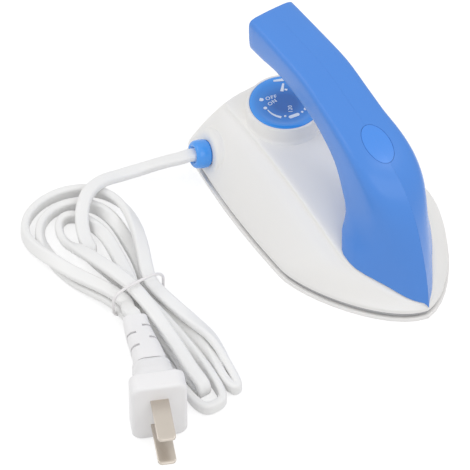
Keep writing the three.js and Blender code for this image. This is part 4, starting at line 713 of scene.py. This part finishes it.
# Half outlines as curves of four points (x, y), in shares of the half length and half width
BASE_PLAN = [
    (1, 0, 0.959, 0.483, 0.436, 1, 0.212, 1), (0.212, 1, -0.14, 1, -0.38, 0.975, -0.63, 0.912),
    (-0.63, 0.912, -0.7, 0.894, -0.78, 0.873, -0.855, 0.855), (-0.855, 0.855, -0.985, 0.862, -1.007, 0.76, -1, 0.42),
    (-1, 0.42, -1, 0.28, -1, 0.14, -1, 0),
]
RIDGE_PLAN = [
    (0.985, 0, 0.985, 0.1, 0.735, 0.55, 0.485, 0.55), (0.485, 0.55, 0.22, 0.55, -0.376, 0.468, -0.756, 0.468),
    (-0.756, 0.468, -0.785, 0.47, -0.81, 0.472, -0.828, 0.465),
    (-0.828, 0.465, -0.847, 0.452, -0.852, 0.36, -0.852, 0.25), (-0.852, 0.25, -0.852, 0.17, -0.85, 0.09, -0.85, 0),
]
PLAN_STEPS = (36, 14, 5, 18, 4)
# The ridge's height along the body, in shares of the half length and of its full height
RIDGE_HEIGHTS = [(-1, 1), (-0.55, 0.985), (-0.15, 0.928), (0.2, 0.832), (0.47, 0.705), (0.66, 0.565), (0.79, 0.442),
                 (0.9, 0.328), (1, 0.25)]
HEIGHT_CURVE = through([(x, z, 0) for x, z in RIDGE_HEIGHTS], 8)


def half_plan(shares, inset):
    points = []
    length, width = HALF_LENGTH - inset, HALF_WIDTH - inset
    for k, row in enumerate(shares):
        a, b, c, d = (Vector((row[i] * length, row[i + 1] * width)) for i in (0, 2, 4, 6))
        for i in range(1 if k else 0, PLAN_STEPS[k] + 1):
            t = i / PLAN_STEPS[k]
            points.append(a * (1 - t) ** 3 + b * 3 * t * (1 - t) ** 2 + c * 3 * t * t * (1 - t) + d * t ** 3)
    return points


def height_at(x):
    share = min(max(x / HALF_LENGTH, -1), 1)
    for a, b in zip(HEIGHT_CURVE, HEIGHT_CURVE[1:]):
        if share <= b.x:
            return RIDGE.height * mix(a.y, b.y, (share - a.x) / (b.x - a.x))
    return RIDGE.height * HEIGHT_CURVE[-1].y


def flank_line(foot, crest, low, fine):
    """A line of the hull: up from its foot, over the ridge and in to the middle."""
    lip = SEAM + LIP
    tall = ease((crest.z - lip) / RIDGE.fade, 0, 1)
    line = [Vector((foot.x, foot.y, z)) for z in (low, mix(low, lip, 0.5), lip)]
    for share in FLANK_SHARES:
        swell = BULGE * sin(pi * share) * tall
        line.append(Vector((mix(foot.x, crest.x, share), mix(foot.y, crest.y, share) * (1 + swell / HALF_WIDTH),
                            mix(lip, crest.z, share) + swell)))
    soft = RIDGE.round * mix(RIDGE.least_share, 1, tall)
    spread = soft * RIDGE.spread
    line.append(Vector((crest.x * (1 + spread / HALF_LENGTH), crest.y * (1 + spread / HALF_WIDTH),
                        crest.z - soft * RIDGE.drop)))
    line.append(Vector((crest.x, crest.y, crest.z - soft * RIDGE.dip)))
    line += [Vector((crest.x, crest.y * share, crest.z + CROWN * (1 - share * share))) for share in CROWN_SHARES]
    return through(line, fine)


def hull(name, inset, low, fine):
    """The body's form: flanks that lean in to a round ridge under a faintly crowned top."""
    lines = []
    for foot, top in zip(half_plan(BASE_PLAN, inset), half_plan(RIDGE_PLAN, inset)):
        height = height_at(top.x * HALF_LENGTH / (HALF_LENGTH - inset)) - inset + INSET
        lines.append(flank_line(foot, Vector((top.x, top.y, height)), low, fine))
    rings = []
    for half in zip(*lines):
        rings.append([*half, *(Vector((p.x, -p.y, p.z)) for p in half[-2:0:-1])])
    return skin(name, rings)


def boss_place():
    """Places a drawing on the boss, with its z along the way out and its x level."""
    side = UP.cross(WAY_OUT).normalized()
    rise = WAY_OUT.cross(side)
    return Matrix.Translation(out_by(0)) @ Matrix((side, rise, WAY_OUT)).transposed().to_4x4()


BOSS_PLACE = boss_place()
PAD_SIDE_STEPS, PAD_ARCH_STEPS = 8, 28
# The pad from its face back: how far in from its outline, and the share of the depth
BOSS_SLOPE = [(2.6, 0), (2, 0.03), (1.5, 0.09), (1.05, 0.19), (0.6, 0.38), (0.25, 0.65), (0, 1)]
# The flare's rows, each a little deeper than the one before, also where the pad is shallow
FLARE_ANGLES, FLARE_STEP = (22, 45, 67, 90), 0.02


def boss_pad(hull_piece):
    """The arched pad that the cord leaves by, its front edge rounded, its foot flared into the flank."""
    half, fillet, flare = BOSS.width / 2, BOSS.fillet, BOSS.flare
    low, shoulder = SEAM - BOSS.z - BOSS.root, BOSS.height - half - BOSS.z
    sides = [mix(low, shoulder, i / PAD_SIDE_STEPS) for i in range(PAD_SIDE_STEPS)]
    arch = [Vector((half, y)) for y in sides]
    for i in range(PAD_ARCH_STEPS + 1):
        angle = pi * i / PAD_ARCH_STEPS
        arch.append(Vector((half * cos(angle), shoulder + half * sin(angle))))
    arch += [Vector((-half, y)) for y in reversed(sides)]
    ways = [heading(arch, i) for i in range(len(arch))]

    def spot(point, way, out, back):
        return BOSS_PLACE @ Vector((point.x + way.y * out, point.y - way.x * out, -back))

    tree = BVHTree.FromObject(hull_piece, bpy.context.evaluated_depsgraph_get())
    found = []
    for point, way in zip(arch, ways):
        start = spot(point, way, flare, -BOSS.search_start)
        start.z = max(start.z, SEAM + flare)
        hit = tree.ray_cast(start * MM, -WAY_OUT)[3]
        found.append(min(hit / MM - BOSS.search_start, BOSS.deepest) if hit else BOSS.deepest)
    near = [found[max(i - 1, 0):i + 2] for i in range(len(found))]
    depths = [sum(few) / len(few) for few in near]

    def ring(out, back_of):
        return [spot(point, way, out, back_of(depth)) for point, way, depth in zip(arch, ways, depths)]

    rings = [ring(-shrink, lambda depth: max(depth - flare, fillet) * share) for shrink, share in BOSS_SLOPE]
    for degrees in FLARE_ANGLES:
        angle = radians(degrees)
        rise = flare * (1 - sin(angle))
        least = fillet + FLARE_STEP * degrees / FLARE_ANGLES[0]
        rings.append(ring(flare * (1 - cos(angle)), lambda depth: max(depth - rise, least)))
    rings.append(ring(flare, lambda depth: max(depth, fillet) + BOSS.root))
    return skin("boss_pad", rings)


AT_DIAL = Matrix.Translation((DIAL.x, 0, 0))
# The collar's profile. Base: out from its foot and up from the body's top. Wall: out from the wall, up from the
# body's top. Lip: out from the wall, down from the collar's top.
COLLAR_BASE = [(0.3, -3), (0, -0.9), (-0.25, -0.35)]
COLLAR_WALL = [(0.5, 0.03), (0.34, 0.35), (0.25, 1)]
COLLAR_LIP = [(0.1, 0.8), (0, 0.25), (-0.08, 0.08), (-0.22, 0)]
# The recess opens out under the collar's top, and its tool goes on above it
RECESS = Sizes(edge_low=-0.1, edge_high=0.05, high=2)
# What cuts the body off at its seam
UNDER = Sizes(length=130, width=80, corner=1, low=-5)
HOLLOW_DEEPER = 2


def casing():
    """The body shell: hull, boss and collar in one, hollow, with the dial's recess and the button's hole."""
    body_top = height_at(DIAL.x) + CROWN
    collar_top = DIAL.top - COLLAR.proud
    recess_floor = DIAL.top - DIAL.thick - GAP
    inner = DIAL.radius + COLLAR.close
    mouth = inner + COLLAR.chamfer
    outer = DIAL.radius + GAP + COLLAR.wall
    foot = outer + COLLAR.flare + COLLAR.step_width
    hole = SLEEVE.neck + GAP
    whole = hull("casing", INSET, SEAM, 3)
    carve(whole, boss_pad(whole), "UNION")
    carve(whole, turned("collar", [
        (0, body_top + COLLAR_BASE[0][1]), *((foot + out, body_top + up) for out, up in COLLAR_BASE),
        *((outer + out, body_top + up) for out, up in COLLAR_WALL),
        *((outer + out, collar_top - down) for out, down in COLLAR_LIP), (mouth, collar_top), (0, collar_top),
    ], DIAL.steps, AT_DIAL), "UNION")
    carve(whole, turned("recess", [
        (0, recess_floor), (inner, recess_floor), (inner, collar_top + RECESS.edge_low),
        (mouth, collar_top + RECESS.edge_high), (mouth, collar_top + RECESS.high),
        (0, collar_top + RECESS.high),
    ], DIAL.steps, AT_DIAL))
    carve(whole, prism("under", oblong(UNDER.length, UNDER.width, UNDER.corner), UNDER.low, SEAM))
    carve(whole, hull("hollow", INSET + WALL, SEAM - HOLLOW_DEEPER, 1))
    carve(whole, turned("sleeve_hole", [
        (0, SLEEVE.hole_low), (hole, SLEEVE.hole_low), (hole, SLEEVE.hole_high), (0, SLEEVE.hole_high),
    ], 48, BOSS_PLACE))
    return whole


shell_casing = smooth(casing(), 34)
dress(shell_casing, "iron", "shell", "shell_white", "body_shell")

# Dial

# The dial's edge: in from its rim, down from its top
DIAL_EDGE = [(0, 0.5), (0.05, 0.28), (0.18, 0.1), (0.4, 0.02), (1.1, 0), (1.9, 0.03), (2.5, 0.2), (3.1, 0.4),
             (4, DIAL.dish)]
DIAL_FOOT = (0.1, 0.15)


def dial_cap():
    top, edge, radius, hub = DIAL.top, DIAL.edge, DIAL.radius, DIAL.hub
    low = top - DIAL.thick
    rim, bore = radius - 2 * edge, hub - DIAL.hub_wall
    return turned("dial_cap", [
        (0, top - DIAL.bore_roof), (bore, top - DIAL.bore_roof), (bore, low), (hub, low),
        (hub, top - DIAL.cap), (rim, top - DIAL.cap), (rim, low), (radius - edge / 2, low),
        (radius - DIAL_FOOT[0], low + DIAL_FOOT[1]), (radius, low + edge / 2),
        *((radius - inward, top - down) for inward, down in DIAL_EDGE), (0, top - DIAL.dish),
    ], DIAL.steps, AT_DIAL)


dress(smooth(dial_cap(), 34), "dial", "dial", "dial_blue", "dial_knob")

# The prints are sunk a little into the dish and stand proud of it
PRINT_LOW, PRINT_HIGH = DIAL.top - DIAL.dish - 0.02, DIAL.top - DIAL.dish + 0.05
PRINT_ROUND, ARC_STEPS = 0.49, 16
LETTER = Sizes(extrude=0.035, offset=0.02, spacing=1.15, fine=3)


def polar(radius, degrees):
    angle = radians(degrees)
    return Vector((DIAL.x + radius * cos(angle), radius * sin(angle)))


def printed(name, outline, raised=0.0):
    piece = prism(name, outline, PRINT_LOW, PRINT_HIGH + raised)
    return dress(piece, "dial", "dial", "print_white")


def blob(name, radius, degrees, size, long=None, lean=0.0):
    """A printed dot, or a longer mark with round ends that lies along the circle."""
    centre = polar(radius, degrees)
    turn = radians(degrees + 90 + lean)
    ax, ay = Vector((cos(turn), sin(turn))), Vector((-sin(turn), cos(turn)))
    return printed(name, [centre + ax * p.x + ay * p.y for p in oblong(long or size, size, size * PRINT_ROUND)])


def stroke(name, start, end, thin, thick, raised=0.0):
    """A straight printed stroke between two places on the dial that widens from start to end."""
    a, b = (Vector((DIAL.x + x, y)) for x, y in (start, end))
    side = (b - a).normalized().orthogonal()
    return printed(name, [a + side * thin / 2, a - side * thin / 2, b - side * thick / 2, b + side * thick / 2],
                   raised)


def swelling_arc(name, radius, start, end, thin, thick):
    """A printed arc that widens from start to end."""
    sides = []
    for way in (1, -1):
        shares = [k / ARC_STEPS for k in range(ARC_STEPS + 1)][::way]
        sides += [polar(radius + way * mix(thin, thick, share) / 2, mix(start, end, share)) for share in shares]
    return printed(name, sides)


def words(name, text, radius, degrees, size, turn):
    """Letters laid flat on the dial, made a mesh before they are placed."""
    fresh()
    bpy.ops.object.text_add()
    letters = bpy.context.object
    put(letters.data, body=text, size=size * MM, align_x="CENTER", align_y="CENTER", extrude=LETTER.extrude * MM,
        space_character=LETTER.spacing, offset=LETTER.offset * MM, resolution_u=LETTER.fine)
    bpy.ops.object.convert(target="MESH")
    letters = bpy.context.object
    letters.name = letters.data.name = name
    spot = polar(radius, degrees)
    place = Vector((spot.x, spot.y, (PRINT_LOW + PRINT_HIGH) / 2)) * MM
    letters.data.transform(Matrix.Translation(place) @ Matrix.Rotation(radians(turn), 4, "Z"))
    return dress(letters, "dial", "dial", "print_white")


# Radius and angle on the dial, then width, length and turn of a mark, or size and turn of letters
blob("mark_off", 8.9, -134, 1.5, 1.9, 90)
words("word_off", "OFF", 5.7, -150, 2.25, 76)
words("word_on", "ON", 4.7, -125, 2.25, 96)
blob("mark_on", 7.7, -104, 1.35)
swelling_arc("mark_rise", 7.3, -95, -46, 0.35, 1.05)
blob("mark_mild", 6.6, -35, 0.9)
blob("mark_hot", 7.1, -8, 1.45, 4.2)
words("word_degrees", "120", 3.6, -4, 2.1, 150)
blob("mark_strong", 7.5, 19, 0.9)
blob("mark_most", 7.8, 33, 1.2)
# Start and end from the dial's middle, then the width there, and what stands over the dial's rim
stroke("mark_pointer", (-11.0, 2.3), (-9.5, 5.7), 0.8, 1.3, 0.47)
stroke("mark_stem", (-8.2, 4.7), (-5.3, 2.1), 0.7, 1.2, 0.12)
stroke("mark_fork", (-5.6, 3.5), (-4.9, 4.2), 0.7, 0.9)

# Cord button

# Its side, in from the flange and up from the boss, and its lip, in from the flange and down from its top
BUTTON_SIDE = [(0.6, GAP), (0.22, GAP + 0.25), (0.06, GAP + 0.9), (0, 2.2), (0.03, 3.4), (0.16, 4.4), (0.42, 5.1),
               (0.8, 5.55)]
BUTTON_LIP = [(1.25, 0.04), (1.6, 0), (1.95, 0.08), (2.25, 0.35), (2.5, 0.8), (2.8, 1.1), (3.2, 1.2)]
BORE_LOW, BORE_HIGH = -6, 8


def cord_button():
    """A cup turned round the cord: a rounded lip, and a hollow that the flat cord comes out of."""
    proud, flange, neck, tail = SLEEVE.proud, SLEEVE.flange, SLEEVE.neck, SLEEVE.tail
    button = turned("cord_button", [
        (0, -tail), (neck, -tail), (neck, GAP), *((flange - inward, up) for inward, up in BUTTON_SIDE),
        *((flange - inward, proud - down) for inward, down in BUTTON_LIP), (0, proud - BUTTON_LIP[-1][1]),
    ], 72, BOSS_PLACE)
    opening = oblong(CORD_WIDTH + SLEEVE.cord_gap, CORD_THICK + SLEEVE.cord_gap, SLEEVE.corner, 6)
    return carve(button, prism("bore", opening, BORE_LOW, BORE_HIGH, BOSS_PLACE))


dress(smooth(cord_button(), 40), "iron", "sleeve", "button_blue", "cord_sleeve")

# Handle

# Rows along the handle: x and z of its top, x and z of its underside, half width, and how much of a foot it is.
# Lengths are shares of the half length, the handle's height and the half width.
HANDLE_ROWS = [
    (-0.703, 0.998, -0.7, 0.797, 0.288, 0), (-0.56, 0.9997, -0.56, 0.805, 0.288, 0),
    (-0.42, 0.997, -0.42, 0.822, 0.29, 0), (-0.125, 0.985, -0.19, 0.808, 0.3, 0),
    (0.075, 0.937, 0.01, 0.762, 0.305, 0), (0.243, 0.894, 0.132, 0.712, 0.318, 0.03),
    (0.42, 0.85, 0.235, 0.668, 0.345, 0.05), (0.57, 0.795, 0.305, 0.608, 0.37, 0.15),
    (0.7, 0.72, 0.356, 0.53, 0.391, 0.33), (0.8, 0.62, 0.39, 0.448, 0.414, 0.56),
    (0.87, 0.5, 0.42, 0.372, 0.457, 0.78), (0.928, 0.365, 0.45, 0.305, 0.51, 0.93),
    (0.966, 0.24, 0.465, 0.24, 0.532, 1), (0.985, 0.15, 0.47, 0.17, 0.534, 1), (0.995, 0.08, 0.475, 0.1, 0.534, 1),
]
# Half sections of the grip and of the foot: share of the half width, share of the height
GRIP_SECTION = [(0, 1), (0.45, 0.993), (0.82, 0.965), (0.95, 0.905), (1, 0.79), (1, 0.42), (0.965, 0.09),
                (0.86, 0.015), (0.5, 0), (0, 0)]
FOOT_SECTION = [(0, 1), (0.234, 0.875), (0.41, 0.7475), (0.57, 0.613), (0.72, 0.495), (0.863, 0.364), (0.96, 0.22),
                (0.985, 0.09), (0.82, 0), (0, 0)]
# The rounded rear end: its rows' angles, its round, and how far that pushes back
END_ANGLES, END_ROUND, END_PUSH_SHARE = (4, 20, 38, 56, 74), 1.6, 0.6
# The halves meet this far from the middle plane, and points nearer than the second value lie on it
MEETING, ON_MIDDLE = 0.01, 0.02


def handle_half(name, side):
    """Half of the handle: sections through the listed rows, smoothed both ways, closed on the middle plane."""
    rows = []
    for top_x, top_z, low_x, low_z, half, foot in HANDLE_ROWS:
        rows.append((Vector((top_x * HALF_LENGTH, 0, top_z * HANDLE_HEIGHT)),
                     Vector((low_x * HALF_LENGTH, 0, low_z * HANDLE_HEIGHT)), Vector((half * HALF_WIDTH, foot, 0))))
    tops, bottoms, sizes = (through(column, 4) for column in zip(*rows))

    def ring(top, bottom, size, shrink=0.0, push=0.0):
        trim = (top - bottom).normalized() * shrink
        low, high = bottom + trim, top - trim
        half, foot = size.x - shrink, size.y
        points = [Vector((mix(ga, fa, foot) * half, mix(gs, fs, foot), 0))
                  for (ga, gs), (fa, fs) in zip(GRIP_SECTION, FOOT_SECTION)]
        found = []
        for p in through(points, 3):
            spot = low.lerp(high, p.y)
            found.append(Vector((spot.x - push, side * max(p.x, MEETING), spot.z)))
        return found

    rings = []
    for degrees in END_ANGLES:
        angle = radians(degrees)
        rings.append(ring(tops[0], bottoms[0], sizes[0], END_ROUND * (1 - sin(angle)),
                          END_ROUND * END_PUSH_SHARE * cos(angle)))
    rings += [ring(*row) for row in zip(tops, bottoms, sizes)]
    return skin(name, rings)


def lens_place():
    """The lens lies on the handle's top at the lens row, leaning with the rows before and after."""
    before, row, after = HANDLE_ROWS[5:8]
    lean = atan2((before[1] - after[1]) * HANDLE_HEIGHT, (after[0] - before[0]) * HALF_LENGTH)
    spot = Matrix.Translation((row[0] * HALF_LENGTH, 0, row[1] * HANDLE_HEIGHT))
    return spot @ Matrix.Rotation(lean, 4, "Y")


def lens_tool(name, grow, deeper):
    outline = [Vector((p.x * (LENS.length / 2 + grow), p.y * (LENS.width / 2 + grow)))
               for p in circle(1, 0, LENS.steps)]
    return prism(name, outline, -LENS.thick - deeper, LENS.over, lens_place())


def lens_window():
    """The lens is the handle's own surface inside the oval."""
    whole = handle_half("lens_window", 1)
    other = handle_half("lens_other", -1)
    for vert in whole.data.vertices:
        if abs(vert.co.y) < ON_MIDDLE * MM:
            vert.co.y = -MEETING * MM
    carve(whole, other, "UNION")
    return carve(whole, lens_tool("window", 0, 0), "INTERSECT")


for label, side in (("left", 1), ("right", -1)):
    half = handle_half(f"handle_side_{label}", side)
    carve(half, hull("seat", INSET - 1.5 * GAP, SEAM - HOLLOW_DEEPER, 2))
    carve(half, lens_tool("opening", LENS.gap, LENS.floor))
    dress(smooth(half, 28), "iron", "handle", "handle_blue", f"handle_{label}")
dress(smooth(lens_window(), 28), "iron", "lens", "lens_blue", "lamp_lens")

# Sole, rim and the pieces inside

dress(smooth(copy_of("soleplate", "sole_casting"), 30), "iron", "sole", "sole_metal", "soleplate")
# The rim's dark grey is partly painted shade for the shadowed gap under the shell.
dress(smooth(copy_of("heat_cover", "rim_pan"), 30), "iron", "cover", "rim_metal", "heat_cover")

# Slots of the nodes that stay, under their finishes
INNER_FINISHES = {
    "element_metal": "element", "terminal_brass": "terminal spring_metal", "screw_steel": "cover screw",
    "insulator_ceramic": "insulator", "clamp_natural": "clamp fuse resistor", "sheath_white": "cord",
    "wire_sleeving": "wire", "lamp_glass": "lamp",
}
look_of = {slot: look for look, slots in INNER_FINISHES.items() for slot in slots.split()}
slot_of = {row["node"]: row["material_slot"] for row in frame["record"]["subparts"]}
for name, piece in frame["nodes"].items():
    if not piece.hide_render:
        cover(piece, look_of[slot_of[name]])

# Floor, lamps and background

# Floor: true is what it gives the pieces, seen and glow are what the camera sees of it
FLOOR = Sizes(size=6, low=-0.0002, true=0.8, seen=0.42, glow=0.7)
WORLD_TRUE, WORLD_SEEN = 0.72, 1.0
# Name, way to the lamp, distance and size in metres, power
LAMPS = [
    ("key_light", (-0.45, -0.75, 1.0), 1.3, 1.0, 3.2),
    ("fill_light", (0.9, -0.1, 0.9), 1.4, 0.9, 2.6),
    ("glint_light", (0.36, 0.37, 0.86), 1.2, 0.3, 1.3),
]


def seen_background(tree):
    """Gives 1 for the rays that show the background: from the camera, in a gloss or through glass."""
    path = node(tree, "LightPath")
    either = node(tree, "Math", operation="MAXIMUM")
    any_seen = node(tree, "Math", operation="MAXIMUM")
    wire(tree,
         (path, "Is Camera Ray", either, 0), (path, "Is Glossy Ray", either, 1),
         (either, "Value", any_seen, 0), (path, "Is Transmission Ray", any_seen, 1))
    return any_seen


def floor_material():
    """Pale paper that the camera sees as white, with the object's shadow on it."""
    made = bpy.data.materials.new("floor_paper")
    made.use_nodes = True
    tree = made.node_tree
    tree.nodes.clear()
    out = node(tree, "OutputMaterial")
    plain = node(tree, "BsdfDiffuse", {"Color": shade(WHITE[:3], FLOOR.true)})
    shown = node(tree, "BsdfDiffuse", {"Color": shade(WHITE[:3], FLOOR.seen)})
    glow = node(tree, "Emission", {"Color": WHITE, "Strength": FLOOR.glow})
    both = node(tree, "AddShader")
    pick = node(tree, "MixShader")
    wire(tree,
         (shown, 0, both, 0), (glow, 0, both, 1), (seen_background(tree), "Value", pick, 0),
         (plain, 0, pick, 1), (both, 0, pick, 2), (pick, 0, out, "Surface"))
    return made


def softbox(name, away, distance, size, power):
    away = Vector(away).normalized()
    bpy.ops.object.light_add(type="AREA", location=away * distance, rotation=away.to_track_quat("Z", "Y").to_euler())
    lamp = put(bpy.context.object, name=name)
    put(lamp.data, shape="DISK", size=size, energy=power)


fresh()
bpy.ops.mesh.primitive_plane_add(size=FLOOR.size, location=(0, 0, FLOOR.low))
floor = bpy.context.object
floor.name = "floor"
floor.data.materials.append(floor_material())

world = bpy.data.worlds.new("studio")
bpy.context.scene.world = world
world.use_nodes = True
back = world.node_tree.nodes["Background"]
back.inputs["Color"].default_value = WHITE
strength = node(world.node_tree, "Mix", data_type="FLOAT")
strength.inputs["A"].default_value = WORLD_TRUE
strength.inputs["B"].default_value = WORLD_SEEN
wire(world.node_tree,
     (seen_background(world.node_tree), "Value", strength, "Factor"), (strength, "Result", back, "Strength"))

for lamp_row in LAMPS:
    softbox(*lamp_row)
bpy.context.scene.view_settings.view_transform = "Standard"
